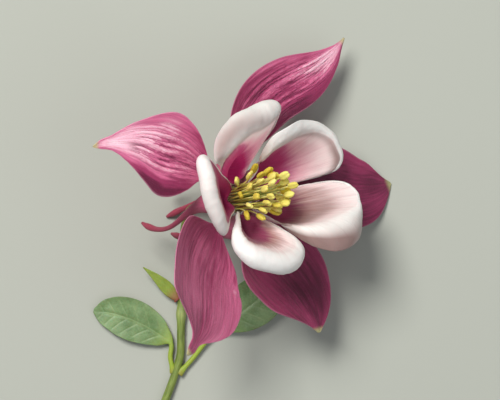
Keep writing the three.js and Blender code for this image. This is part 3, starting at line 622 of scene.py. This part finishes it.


# The five petals: funnels with a white rolled lip, wine-red in the throat, each drawn out behind into a
# thin hollow spur that ends in a nectar knob. One sheet of tissue, rolled back at its free edge.

# Each petal's rim, where the lip begins to roll back: its reach from the flower's axis, its place to one
# side and its height, the width of the lip, the twist of the way in which it falls and how far it curls in
# degrees, and how far up the blade the wine red reaches, at these turns round the throat. INNER_RIM is at
# turn 1. dusky is how brown and dim the red is, partly the petal's own colour and partly painted shade inside
# the bowl; lit is the strength of a painted glow that stands in for light coming through the tissue;
# plain_lip is how far the lip lacks the blade's lines; and patches are painted greyish shade round the rim
# and up the blade, which on the lip also sinks it in shallow dents. wedge has the degrees to the planes that
# part it from its neighbours, and flare and rise say how its wall leaves the throat. The spur leans away from
# the flower's axis by splay and to one side by sway, in degrees at the throat, half way and at the tip.
RIM_TURNS = (-0.85, -0.65, -0.45, -0.3, -0.15, 0, 0.15, 0.3, 0.45, 0.65, 0.85)
INNER_RIM = {"reach": 3.5, "side": 0, "height": 2, "lip": 0.2, "curl": 40, "twist": 0, "wine": 1.4}
PETALS = [
    dict(name="petal_upper_left", at=98, seed=2.2, wedge=(-32.4, 40.4),
         flare=0.06, rise=0.64,
         reach=(6.7, 10.5, 13.3, 15.2, 14.7, 14.1, 13.9, 12.7, 11, 9.2, 6.8),
         side=(-5.6, -6.6, -8, -8.9, -5.8, -2, 1.8, 5.3, 7.5, 6.6, 3.8),
         height=(4.4, 8.4, 11.4, 13.2, 14.3, 14.8, 14.9, 14.2, 12.3, 8.5, 4.4),
         lip=(0.2, 0.8, 2.4, 5.2, 6.6, 7, 7.1, 6.4, 3.8, 1, 0.3),
         twist=(3, 5, 11, 12, 9, 4, -1, -4, -7, -13, -3),
         curl=(40, 60, 110, 140, 150, 150, 150, 150, 140, 120, 60),
         wine=(0.5, 0.42, 0.36, 0.36, 0.38, 0.45, 0.68, 0.93, 0.98, 1, 1.2), dusky=0, lit=1.7,
         patches=((0.38, 1.34, 0.2, 0.16, 0.9), (0.22, 1.22, 0.2, 0.12, 0.7), (0.05, 1.12, 0.14, 0.07, 0.5),
                  (0.1, 1.3, 0.7, 0.5, 0.12)),
         spur=23.5, splay=(10, 0, -30), sway=(0, 0, 0)),
    dict(name="petal_upper_right", at=31, seed=14.6, wedge=(-28.1, 31.8),
         flare=0.3, rise=0.4,
         reach=(10.1, 17.2, 20, 21.6, 21.9, 20.1, 15.5, 11.3, 8.5, 7, 6.6),
         side=(-5, -9, -9.4, -7.6, -4, 0.6, 3.7, 4.8, 5.3, 4.4, 2.2),
         height=(5.2, 8.2, 10.8, 12.3, 13.4, 13.8, 13.6, 12.6, 10.8, 8, 4.6),
         lip=(0.2, 0.6, 1, 1.4, 1.8, 2.2, 3.6, 4.8, 4.2, 1.8, 0.3),
         twist=(33, 42, 31, 29, 27, 30, 33, 21, 9, -7, -13),
         curl=(40, 50, 60, 75, 85, 85, 75, 65, 70, 80, 50),
         wine=(0.5, 0.4, 0.36, 0.37, 0.42, 0.5, 0.66, 0.9, 0.98, 0.98, 1.1), dusky=0.4, lit=0.45,
         patches=((-0.3, 0.98, 0.28, 0.05, 1.3), (0.3, 1.12, 0.22, 0.2, 0.5), (0.2, 0.98, 0.2, 0.06, 0.4),
                  (-0.1, 0.8, 0.6, 0.15, 0.3)),
         spur=28.25, splay=(2.4, -12, -25), sway=(-2.2, -2.8, 0)),
    dict(name="petal_right", at=-35, seed=27.1, wedge=(-25.6, 35.1),
         flare=0.15, rise=0.5, plain_lip=0.4,
         reach=(7, 8.6, 10.1, 12.6, 16, 19.2, 21.5, 21.1, 19, 14.8, 9.4),
         side=(-1.4, -3, -3.6, -2.4, 0.5, 4, 7, 9.5, 11, 10.2, 6.4),
         height=(5, 8.8, 12.6, 15, 16, 16.2, 15.8, 14.8, 13, 9.8, 5.6),
         lip=(0.3, 2.7, 7, 8.8, 8.2, 4.6, 1.4, 0.9, 0.8, 0.6, 0.2),
         twist=(93, 75, 43, 12, -5, -10, -12, -14, -21, -32, -23),
         curl=(60, 80, 90, 95, 95, 90, 80, 70, 60, 50, 40),
         wine=(0.9, 0.8, 0.6, 0.48, 0.42, 0.38, 0.38, 0.38, 0.42, 0.5, 0.7), dusky=1, lit=0.3,
         patches=((-0.42, 1.42, 0.4, 0.16, 2), (0.05, 0.72, 0.6, 0.16, 1.15), (-0.55, 0.7, 0.25, 0.3, 0.4),
                  (-0.4, 1.2, 0.5, 0.1, 0.1)),
         spur=24.3, splay=(12, 5, -12), sway=(0, -4, -8)),
    dict(name="petal_bottom", at=-108, seed=39.8, wedge=(-42.6, 44.6),
         flare=0.1, rise=0.66,
         reach=(3.8, 6.6, 9.7, 11.7, 13, 13.6, 13.7, 12.7, 10.4, 7.2, 4.2),
         side=(-2.2, -4.9, -7, -6.9, -4.9, -1.9, 1.4, 5, 7.1, 6.1, 3.8),
         height=(4.6, 8.6, 12, 13.6, 14.5, 15, 15.2, 14.8, 13.4, 9.8, 4.8),
         lip=(0.3, 1, 2.6, 4.4, 5.6, 5.9, 6, 5.6, 4.2, 1.2, 0.2),
         twist=(3, 7, 6, 9, 7, 5, -2, -9, -16, -27, -13),
         curl=(90, 180, 170, 150, 140, 140, 135, 125, 110, 80, 50),
         wine=(1, 0.98, 0.97, 0.94, 0.84, 0.66, 0.55, 0.48, 0.46, 0.5, 0.9), dusky=1, lit=0.5,
         patches=((0.15, 0.72, 0.35, 0.14, 0.5),),
         spur=22.8, splay=(9.4, -0.5, -23), sway=(1.6, -1.7, -8.6)),
    dict(name="petal_left", at=175, seed=45.3, wedge=(-33.8, 31.6),
         flare=0.05, rise=0.58,
         reach=(3.6, 9.1, 15, 16, 15.9, 15.8, 15.1, 13.9, 12.4, 8.3, 3.8),
         side=(-3, -5.1, -7.9, -7, -4.5, -1.9, 0.9, 3.7, 5.6, 4, 2.2),
         height=(4.4, 8, 12, 13.4, 13.9, 13.9, 13.6, 13, 11.6, 8, 4.4),
         lip=(0.3, 0.6, 3.4, 5, 5.4, 5.4, 5.4, 5.6, 4.2, 0.7, 0.3),
         twist=(3, 12, 33, 29, 15, 0, -9, -12, -15, -17, -3),
         curl=(50, 70, 170, 200, 200, 200, 200, 200, 170, 80, 50),
         wine=(1.3, 1.1, 0.99, 0.98, 0.98, 0.98, 0.98, 0.98, 1, 1.15, 1.3), dusky=0.2, lit=0.3,
         patches=((0.3, 1.32, 0.35, 0.2, 0.35), (0.1, 1.2, 0.8, 0.5, 0.22)),
         spur=25.3, splay=(19, -1, 13), sway=(1, 19, -38)),
]
THROAT_REACH = 6.3  # of the spur's mouth, from the flower's axis
THROAT_RADIUS = 2.6
THROAT_HEIGHT = 1.5  # above the heart
SPUR_RADIUS = 0.58
KNOB_RADIUS = 0.7
PETAL_THICKNESS = 0.36
PETAL_COLUMNS = 144
LIP_ROWS, BLADE_ROWS, SPUR_ROWS, HOLLOW_ROWS = 26, 44, 44, 14
SPUR_STEPS = 176  # in which its curve is followed


def round_rim(petal, measure, turn):
    """A measure of the rim, joined smoothly all the way round. turn is -1 to 1, and 0 the outermost place."""
    values = petal[measure]
    inner = INNER_RIM[measure]
    turn = (turn + 1) % 2 - 1
    at = (-1.15, -1) + RIM_TURNS + (1, 1.15)
    return through(turn, at, (values[-1], inner) + values + (inner, values[0]))


def rim_of(petal, turn):
    wave = 1 + 0.012 * round_grain(2.5, math.pi * turn, petal["seed"])
    reach, side, height = (round_rim(petal, measure, turn) for measure in ("reach", "side", "height"))
    return stacked(reach * wave, side, height * wave)


def throat_angle(turn):
    """The place round the throat below a place on the rim. Most of the throat feeds the outer blade."""
    return math.pi * np.sign(turn) * through(np.abs(turn), (0, 0.3, 0.45, 0.65, 0.85, 1),
                                             (0, 0.2, 0.31, 0.48, 0.73, 1))


def keep_in_wedge(points, petal):
    """Keeps a petal's wall between the planes that part it from its neighbours."""
    angle = np.arctan2(points[..., 1], points[..., 0])
    limit = np.radians(np.abs(np.where(angle < 0, *petal["wedge"])))
    kept = angle / (1 + (np.abs(angle) / limit) ** 20) ** (1 / 20)
    distance = np.hypot(points[..., 0], points[..., 1])
    return stacked(distance * np.cos(kept), distance * np.sin(kept), points[..., 2])


def petal_back(petal, turn):
    """The petal's back surface from the edge of its lip over the rim and down to the throat."""
    rim = keep_in_wedge(rim_of(petal, turn), petal)
    angle = throat_angle(turn)
    across = stacked(np.cos(angle), np.sin(angle), 0)
    throat = np.array([THROAT_REACH, 0, THROAT_HEIGHT]) + THROAT_RADIUS * across
    reach = np.linalg.norm(rim - throat, axis=-1)[..., None]
    climb = np.clip((rim[..., 2:] - THROAT_HEIGHT) / reach, 0.3, 1)
    flare = petal["flare"] * np.clip(across[..., :1], 0, 1)
    control = throat + flare * reach * across + petal["rise"] * reach * climb * UPRIGHT
    v = np.linspace(0, 1, BLADE_ROWS + 1)[:, None, None]
    blade = keep_in_wedge((1 - v) ** 2 * throat + 2 * v * (1 - v) * control + v * v * rim, petal)
    ahead = unit(rim - control)
    way = np.radians(180 * turn + round_rim(petal, "twist", turn))
    outward = stacked(np.cos(way), np.sin(way), 0)
    outward = unit(outward - ahead * (outward * ahead).sum(axis=-1, keepdims=True))
    width = round_rim(petal, "lip", turn)
    curl = np.radians(round_rim(petal, "curl", turn))
    bend = curl * np.linspace(0, 1, LIP_ROWS + 1)[1:, None]
    lip = (rim + (width / curl * np.sin(bend))[..., None] * ahead
           + (width / curl * (1 - np.cos(bend)))[..., None] * outward)
    return np.concatenate([blade, lip])[::-1]


def spur_back(petal, turn):
    """The spur's surface behind the throat, narrowing to a thin tube with a knob."""
    halves = (np.arange(SPUR_STEPS) + 0.5) / SPUR_STEPS
    out = np.radians(through(halves, (0, 0.5, 1), petal["splay"]))
    side = np.radians(through(halves, (0, 0.5, 1), petal["sway"]))
    steps = stacked(np.sin(out) * np.cos(side), np.sin(side), -np.cos(out) * np.cos(side))
    centres = np.concatenate([np.zeros((1, 3)), np.cumsum(steps, axis=0)]) * petal["spur"] / SPUR_STEPS
    centres += (THROAT_REACH, 0, THROAT_HEIGHT)
    q = np.linspace(0, 1, SPUR_ROWS + 1)[1:]
    centre = sampled(q, np.linspace(0, 1, SPUR_STEPS + 1), centres)
    ahead = sampled(q, halves, steps)
    turned = ease(0, 0.25, q)[:, None]
    ahead = unit(ahead * turned - UPRIGHT * (1 - turned))
    out = unit((1, 0, 0) - ahead * ahead[:, :1])
    side = np.cross(out, ahead)
    radius = through(q, (0, 0.08, 0.2, 0.34, 0.55, 0.8, 0.93, 1),
                     (THROAT_RADIUS, THROAT_RADIUS * 0.88, THROAT_RADIUS * 0.55, THROAT_RADIUS * 0.33,
                      SPUR_RADIUS, SPUR_RADIUS, KNOB_RADIUS, 0.3))[:, None, None]
    angle = throat_angle(turn)[:, None]
    return centre[:, None] + radius * (np.cos(angle) * out[:, None] + np.sin(angle) * side[:, None])


def petal_finish():
    look = tissue("petal skin", 0.2, 0.0016, 0.3, **{
        "Subsurface Radius": (1, 0.5, 0.5), "Sheen Weight": 0.08, "Sheen Roughness": 0.5})
    streaks = look.pattern((1, 1, 0.16), 0.9, 3, 0.2)
    fine = look.pattern((1, 1, 0.06), 3.4, shift=3)
    clouds = look.pattern((1, 1, 0.5), 0.35, shift=8)
    cells = look.pattern((1, 1, 1), 2.6, shift=5)
    shade = look["shade"] + (streaks - 0.5) * (0.22 + look["dusky"] * 0.35) + (clouds - 0.5) * 0.3
    wine = look.blend(shade, (-1.8, "7a1a44"), (-0.9, "9c2459"), (-0.25, "b02c68"), (0, "ba5580"))
    # The red turns browner and dimmer where dusky says so: partly the petal's own colour, partly painted
    # shade inside the bowl.
    wine = look.mix(look["dusky"] * 0.85, wine, "742e46")
    dusk = look.mix(look["dusky"], "e0a2b2", "a67d79")
    tinted = look.mix(look.ease(-0.08, 0.34, shade), wine, dusk)
    pale = look.mix(look.ease(0.2, 0.8, shade), tinted, "e8cecd")
    inside = look.blend(shade, (0.75, "ead6d3"), (1.3, "f5efea"))
    inside = look.mix(look.ease(0.55, 0.95, shade), pale, inside)
    outside = look.blend(
        look["shade"], (-1.9, "a03c52"), (-1.2, "ac4264"), (-0.4, "cb8ca0"), (0.6, "ead9d6"))
    base = look.mix(look["inner"], outside, inside)
    # Painted greyish shade in the patches round the rim and up the blade.
    base = look.mix(look["dent_and_painted_shade"] * 0.7, base, "927873")
    lines = look.ease(0.52, 0.7, fine) * look["lined"]
    base = look.mix(lines * 0.28, base, look.mix(0.5, base, "8f6670"))
    # A painted glow, as strong as the mesh says, standing in for light through the thin petal.
    look.glow(look.mix(look["lit"], "000000", base), 0.34)
    return look.surface(base, 0.5 + cells * 0.12, lines * 0.35 + cells * 0.4, 0.00013)


petal_skin = petal_finish()
for petal in PETALS:
    turn = np.linspace(1, -1, PETAL_COLUMNS, endpoint=False)
    seed = petal["seed"]
    back = np.concatenate([petal_back(petal, turn), spur_back(petal, turn)])
    level = np.concatenate([np.linspace(1.5, 1, LIP_ROWS, endpoint=False), np.linspace(1, 0, BLADE_ROWS + 1),
                            np.linspace(0, -1, SPUR_ROWS + 1)[1:]])[:, None]
    around = np.roll(back, -1, axis=1) - np.roll(back, 1, axis=1)
    inward = unit(np.cross(np.gradient(back, axis=0), around))
    angle = math.pi * turn
    on_lip = ease(0.75, 1.1, level)
    dents = 0.14 * round_grain(2.6, angle, level * 2.4 + seed)
    dents = (dents + 0.07 * round_grain(8, angle, level * 9 + seed)) * on_lip
    # The patches: painted greyish shade, which on the lip also sinks the surface in shallow dents.
    dent_and_painted_shade = spots(turn, level, petal["patches"])
    ribs = 0.022 * round_grain(11, angle, level * 1.2 + seed) * ease(0.1, 0.5, level)
    back = back + inward * (dents + ribs + 0.12 * dent_and_painted_shade * on_lip)[..., None]
    thickness = PETAL_THICKNESS * (1 - 0.62 * ease(1.2, 1.5, level))
    hollow = LIP_ROWS + BLADE_ROWS + HOLLOW_ROWS
    front = (back + inward * thickness[..., None])[:hollow]
    edge = (front[:1] + back[:1]) / 2 + unit(back[:1] - back[1:2]) * 0.06
    rings = in_flower(np.concatenate([front[::-1], edge, back]), petal["at"])
    levels = np.concatenate([level[:hollow][::-1], level[:1], level])
    inner = np.concatenate([np.ones((hollow + 1, 1)), ease(1, 1.3, level)])
    wine = round_rim(petal, "wine", turn)
    above = np.minimum((levels - wine) / np.maximum(1.04 - wine, 0.07), 1)
    shade = np.where(levels < wine, levels / wine - 1, above)
    shade = np.where(levels < 0, levels - 1, shade) + 1.4 * np.clip(levels - np.maximum(wine, 1), 0, 1)
    lined = (0.6 + 0.4 * petal["dusky"]) * (1 - petal.get("plain_lip", 0.88) * ease(0.85, 1.1, levels))
    # Painted glow, standing in for light through the tissue: on the blade below the rim, and faintly deep in
    # the spur.
    through_blade = petal["lit"] * (1 - ease(0.86, 1, levels))
    marks = {
        "shade": shade, "inner": inner, "dusky": petal["dusky"], "lined": lined,
        "dent_and_painted_shade": np.concatenate([dent_and_painted_shade[:hollow][::-1], dent_and_painted_shade[:1], dent_and_painted_shade]),
        "lit": (through_blade + 0.25 * ease(0, -0.3, levels)) * inner,
        "flow": stacked(9 * np.cos(angle), 9 * np.sin(angle), levels * 14 + seed),
    }
    settle(closed_skin(petal["name"] + "_funnel", rings, petal_skin, marks), "petal", petal["name"])


# The stamens: threads that are broader at the foot, each with a flat yellow anther of two pollen sacs. The
# inner ones stand nearly straight, the outer ones are shorter and arch outwards.

STAMEN_COUNT = 36
GOLDEN_ANGLE = 137.508  # degrees between one stamen and the next
STAMEN_START = 7  # degrees, of the first one
STAMEN_RING = (1.8, 2.85)  # from the axis to the innermost and outermost feet
STAMEN_LENGTH = (17.2, 8.5)  # inner, outer
STAMEN_LEAN = (4, 1, 98)  # degrees off the axis: foot, inner tip, outer tip
STAMEN_UNEVEN = 0.5
STAMEN_NOD = 21  # degrees that the anther nods outwards
STAMEN_FOOT = 1.45
FILAMENT_RADIUS = 0.15
ANTHER_LENGTH = 2.7
ANTHER_HALF_WIDTH = 0.86
ANTHER_HALF_THICKNESS = 0.5


def stamen_line(index, steps=40):
    """Middle line of a stamen from its foot to the far end of its anther."""
    share = index / (STAMEN_COUNT - 1)
    foot = math.sqrt(STAMEN_RING[0] ** 2 + share * (STAMEN_RING[1] ** 2 - STAMEN_RING[0] ** 2))
    length = STAMEN_LENGTH[0] + share * (STAMEN_LENGTH[1] - STAMEN_LENGTH[0])
    length += STAMEN_UNEVEN * math.sin(index * 2.2)
    tip_lean = STAMEN_LEAN[1] + (STAMEN_LEAN[2] - STAMEN_LEAN[1]) * share ** 2.6
    s = (np.arange(steps) + 0.5) / steps
    lean = np.radians(STAMEN_LEAN[0] + (tip_lean - STAMEN_LEAN[0]) * s * s + STAMEN_NOD * ease(0.68, 0.96, s))
    moves = stacked(np.sin(lean), 0, np.cos(lean)) * length / steps
    line = np.concatenate([[(foot, 0, STAMEN_FOOT)], (foot, 0, STAMEN_FOOT) + np.cumsum(moves, axis=0)])
    return line, length


def anther_finish():
    look = tissue("anther skin", 0.1, 0.0008, 0.3)
    here = look.add("ShaderNodeTexCoord", {}, {}, "Object")
    grains = look.noise(here, 9000, 2)
    tone = look["tone"]
    base = look.mix(look.ease(0.1, 0.9, tone + (grains - 0.5) * 0.7), "d2bc3c", "f4ea84")
    base = look.mix(look["slit"] * 0.2, base, "b09a38")
    return look.surface(base, 0.62 + grains * 0.1, grains, 0.00008)


def filament_finish():
    look = tissue("filament skin", 0.15, 0.0006, 0.4)
    # Brownish and darker towards the foot: partly the threads' own colour, partly painted shade deep in the
    # flower.
    base = look.blend(look["along"], (0, "6e2c34"), (0.14, "8a5230"), (0.24, "b8a244"), (0.4, "cfcc5c"),
                      (1, "e6e08a"))
    here = look.add("ShaderNodeTexCoord", {}, {}, "Object")
    return look.surface(base, 0.42 + look["along"] * 0.05, look.noise(here, 5000, 1), 0.00004)


def anther_sample(finish):
    """One anther along +X: two sacs side by side, with a slit down each flank."""
    u = np.linspace(0, math.pi, 22)[:, None]
    v = circle(24)
    body = np.sin(u) ** 0.62
    notch = 1 - 0.14 * bell(np.cos(v), 0.28)
    flank = bell(np.sin(v), 0.22)
    y = body * ANTHER_HALF_WIDTH * np.cos(v) * (1 - 0.1 * flank)
    z = body * ANTHER_HALF_THICKNESS * np.sin(v) * notch * (1.05 + 0.25 * np.abs(np.cos(v)))
    x = ANTHER_LENGTH / 2 * (1 - np.cos(u)) * (1 - 0.05 * bell(np.cos(v), 0.4))
    return closed_skin("anther_sample", stacked(x, y, z), finish, {"slit": flank * np.sin(u) ** 0.5})


def stamen_tree():
    """Thickens lines into threads and puts an anther on the far end of each."""
    tree = bpy.data.node_groups.new("Stamens", "GeometryNodeTree")
    inputs = {"Geometry": "Geometry", "Thread Sides": "Int", "Thread Radius": "Float", "Anther": "Object",
              "Unevenness": "Float", "Seed": "Int", "Thread Finish": "Material", "Anther Finish": "Material"}
    for name, kind in inputs.items():
        tree.interface.new_socket(name, in_out="INPUT", socket_type="NodeSocket" + kind)
    tree.interface.new_socket("Geometry", in_out="OUTPUT", socket_type="NodeSocketGeometry")
    nodes = Nodes(tree)
    group_input = tree.nodes.new("NodeGroupInput")
    given = {name: Wire(nodes, group_input.outputs[name]) for name in inputs}

    def step(kind, sockets, output=0, **settings):
        return nodes.add("GeometryNode" + kind, settings, sockets, output)

    def carried(name, kind="FLOAT"):
        return step("InputNamedAttribute", {"Name": name}, data_type=kind)

    line = step("MeshToCurve", {"Mesh": given["Geometry"]})
    line = step("SetCurveRadius", {"Curve": line, "Radius": carried("girth")})
    ring = step("CurvePrimitiveCircle", {"Resolution": given["Thread Sides"],
                                         "Radius": given["Thread Radius"]})
    thread = step("CurveToMesh", {"Curve": line, "Profile Curve": ring, "Fill Caps": True})
    thread = step("SetShadeSmooth", {"Geometry": thread})
    thread = step("SetMaterial", {"Geometry": thread, "Material": given["Thread Finish"]})

    ends = step("CurveEndpointSelection", {"Start Size": 0, "End Size": 1})
    sample = step("ObjectInfo", {"Object": given["Anther"]}, "Geometry", transform_space="ORIGINAL")
    axes = {"Primary Axis": step("InputTangent", {}), "Secondary Axis": carried("side", "FLOAT_VECTOR")}
    facing = nodes.add("FunctionNodeAxesToRotation", {"primary_axis": "X", "secondary_axis": "Y"}, axes)
    anthers = step("InstanceOnPoints", {"Points": line, "Selection": ends, "Instance": sample,
                                        "Rotation": facing, "Scale": carried("size", "FLOAT_VECTOR")})
    tone = nodes.add("FunctionNodeRandomValue", {"data_type": "FLOAT"}, {"Seed": given["Seed"]}, 1)
    anthers = step("StoreNamedAttribute", {"Geometry": anthers, "Name": "tone", "Value": tone},
                   data_type="FLOAT", domain="INSTANCE")
    anthers = step("RealizeInstances", {"Geometry": anthers})
    lumps = nodes.add("ShaderNodeTexNoise", {}, {"Scale": 1300, "Detail": 2}, "Fac")
    offset = nodes.add("ShaderNodeVectorMath", {"operation": "SCALE"},
                       {0: step("InputNormal", {}), "Scale": (lumps - 0.5) * given["Unevenness"]})
    anthers = step("SetPosition", {"Geometry": anthers, "Offset": offset})
    anthers = step("SetMaterial", {"Geometry": anthers, "Material": given["Anther Finish"]})
    joined = tree.nodes.new("GeometryNodeJoinGeometry")
    for part in (anthers, thread):
        nodes.feed(joined.inputs[0], part)
    tree.links.new(joined.outputs[0], tree.nodes.new("NodeGroupOutput").inputs[0])
    return tree


def made_plain(piece, tree, values):
    """Runs a geometry tree on a piece with the named values, and keeps the result as its mesh."""
    modifier = piece.modifiers.new(tree.name, "NODES")
    modifier.node_group = tree
    identifiers = {socket.name: socket.identifier for socket in tree.interface.items_tree
                   if socket.in_out == "INPUT"}
    for name, value in values.items():
        modifier[identifiers[name]] = value
    bpy.context.view_layer.update()
    evaluated = piece.evaluated_get(bpy.context.evaluated_depsgraph_get())
    mesh = bpy.data.meshes.new_from_object(evaluated)
    piece.modifiers.remove(modifier)
    piece.data = mesh


anther_skin = anther_finish()
filament_skin = filament_finish()
points, edges, girths, alongs, sides, sizes = [], [], [], [], [], []
chance = np.random.default_rng(17)
for index in range(STAMEN_COUNT):
    line, length = stamen_line(index)
    at = STAMEN_START + index * GOLDEN_ANGLE
    neck = 1 - (ANTHER_LENGTH - 0.1) / length
    s = np.linspace(0, neck, 26)
    line = in_flower(sampled(s, np.linspace(0, 1, len(line)), line), at)
    roll = math.radians(chance.uniform(-35, 35))
    sideways = unit(np.cross(AXIS, line[-1] - HEART - AXIS * AXIS.dot(line[-1] - HEART)))
    ahead = unit(line[-1] - line[-2])
    sideways = sideways * math.cos(roll) + np.cross(ahead, sideways) * math.sin(roll)
    scale = chance.uniform(0.96, 1.1)
    start = len(points)
    points += list(line * 0.001)
    edges += [(start + i, start + i + 1) for i in range(len(line) - 1)]
    girths += list(through(s / neck, (0, 0.15, 0.5, 0.9, 1), (1.9, 1.35, 0.95, 0.75, 0.7)))
    alongs += list(s / neck)
    sides += [sideways] * len(line)
    sizes += [(scale, scale * chance.uniform(0.9, 1.02), scale * chance.uniform(0.8, 1.1))] * len(line)
mesh = bpy.data.meshes.new("stamens")
mesh.from_pydata([tuple(point) for point in points], edges, [])
for name, values in (("girth", girths), ("along", alongs), ("side", sides), ("size", sizes)):
    carry(mesh, name, np.array(values))
stamens = linked("stamens", mesh)
sample = anther_sample(anther_skin)
made_plain(stamens, stamen_tree(), {
    "Thread Sides": 8, "Thread Radius": FILAMENT_RADIUS * 0.001, "Anther": sample, "Unevenness": 0.00016,
    "Seed": 5, "Thread Finish": filament_skin.material, "Anther Finish": anther_skin.material,
})
bpy.data.objects.remove(sample)
settle(stamens, "stamen", *[f"stamen_{i + 1:02d}" for i in range(STAMEN_COUNT)])


# The five carpels: slim green seed pods in the middle of the stamens, each drawn out into a thread-like
# style with a bent tip.

CARPEL_COUNT = 5
CARPEL_REACH = 0.8
CARPEL_LENGTH = 15
CARPEL_RADIUS = 0.42
CARPEL_BEND = ((0, 0), (0.05, 0.3), (-0.05, 0.7), (0.2, 0.96), (0.45, 1))  # outwards, at shares of the length

carpel_finish = green_finish("carpel skin", "bcc468", "8c9a3f", "a88a4a")
carpel_line = [(CARPEL_REACH + out, 0, STAMEN_FOOT + CARPEL_LENGTH * share) for out, share in CARPEL_BEND]
path, ahead, distance = follow(carpel_line, 70)
distance = distance[:, None]
s = distance / distance[-1]
turn = circle(16)
for index in range(CARPEL_COUNT):
    radius = CARPEL_RADIUS * through(s, (0, 0.2, 0.45, 0.6, 1), (0.8, 1, 0.8, 0.4, 0.3))
    radius = radius * (1 + 0.06 * np.cos(3 * turn) + 0.05 * round_grain(1, turn, distance + index))
    rings = in_flower(tube(path, ahead, radius, turn), index * 360 / CARPEL_COUNT)
    settle(closed_skin(f"carpel_{index + 1}_pod", rings, carpel_finish, {
        "flow": round_flow(1, turn, distance, index),
        "blush": 0.5 * ease(0.8, 1, s), "pale": 0.4 * ease(0.4, 0.7, s),
    }), "carpel", f"carpel_{index + 1}")


# The stage: a plain pale floor, a large soft key light, a soft fill and the camera straight above.

CAMERA_HEIGHT = 600  # above the heart of the flower
CAMERA_SHIFT = 3.78  # from the heart towards +X
VIEW_WIDTH = 111.1  # of the frame at the height of the heart
SENSOR = 36.0


def soft_light(name, direction, distance, size, watts, tint):
    lamp = bpy.data.lights.new(name, "AREA")
    lamp.shape = "DISK"
    lamp.size = size
    lamp.energy = watts
    lamp.color = tint
    light = linked(name, lamp)
    direction = Vector(direction).normalized()
    light.location = Vector(HEART * 0.001) + direction * distance
    light.rotation_euler = direction.to_track_quat("Z", "Y").to_euler()


floor_mesh = bpy.data.meshes.new("floor")
floor_mesh.from_pydata([(-2, -2, 0), (2, -2, 0), (2, 2, 0), (-2, 2, 0)], [], [(0, 1, 2, 3)])
floor_paint = {"Base Color": colour("aeb1a7"), "Roughness": 0.85, "Specular IOR Level": 0.2}
floor_mesh.materials.append(Finish("floor paint", floor_paint).material)
floor = linked("floor", floor_mesh)

soft_light("key", (-0.3, 0.42, 0.86), 0.9, 0.4, 9.2, (1.0, 0.985, 0.96))
soft_light("fill", (0.5, -0.3, 0.8), 1.0, 0.9, 2.0, (0.94, 0.97, 1.0))
world = bpy.data.worlds.new("studio")
world.use_nodes = True
world.node_tree.nodes["Background"].inputs["Color"].default_value = (0.9, 0.93, 1.0, 1.0)
world.node_tree.nodes["Background"].inputs["Strength"].default_value = 0.24
bpy.context.scene.world = world
bpy.context.scene.view_settings.view_transform = "Standard"

lens = bpy.data.cameras.new("camera")
lens.sensor_width = SENSOR
lens.lens = SENSOR * CAMERA_HEIGHT / VIEW_WIDTH
lens.clip_start = 0.01
camera = linked("camera", lens)
camera.location = (HEART + (CAMERA_SHIFT, 0, CAMERA_HEIGHT)) * 0.001
bpy.context.scene.camera = camera
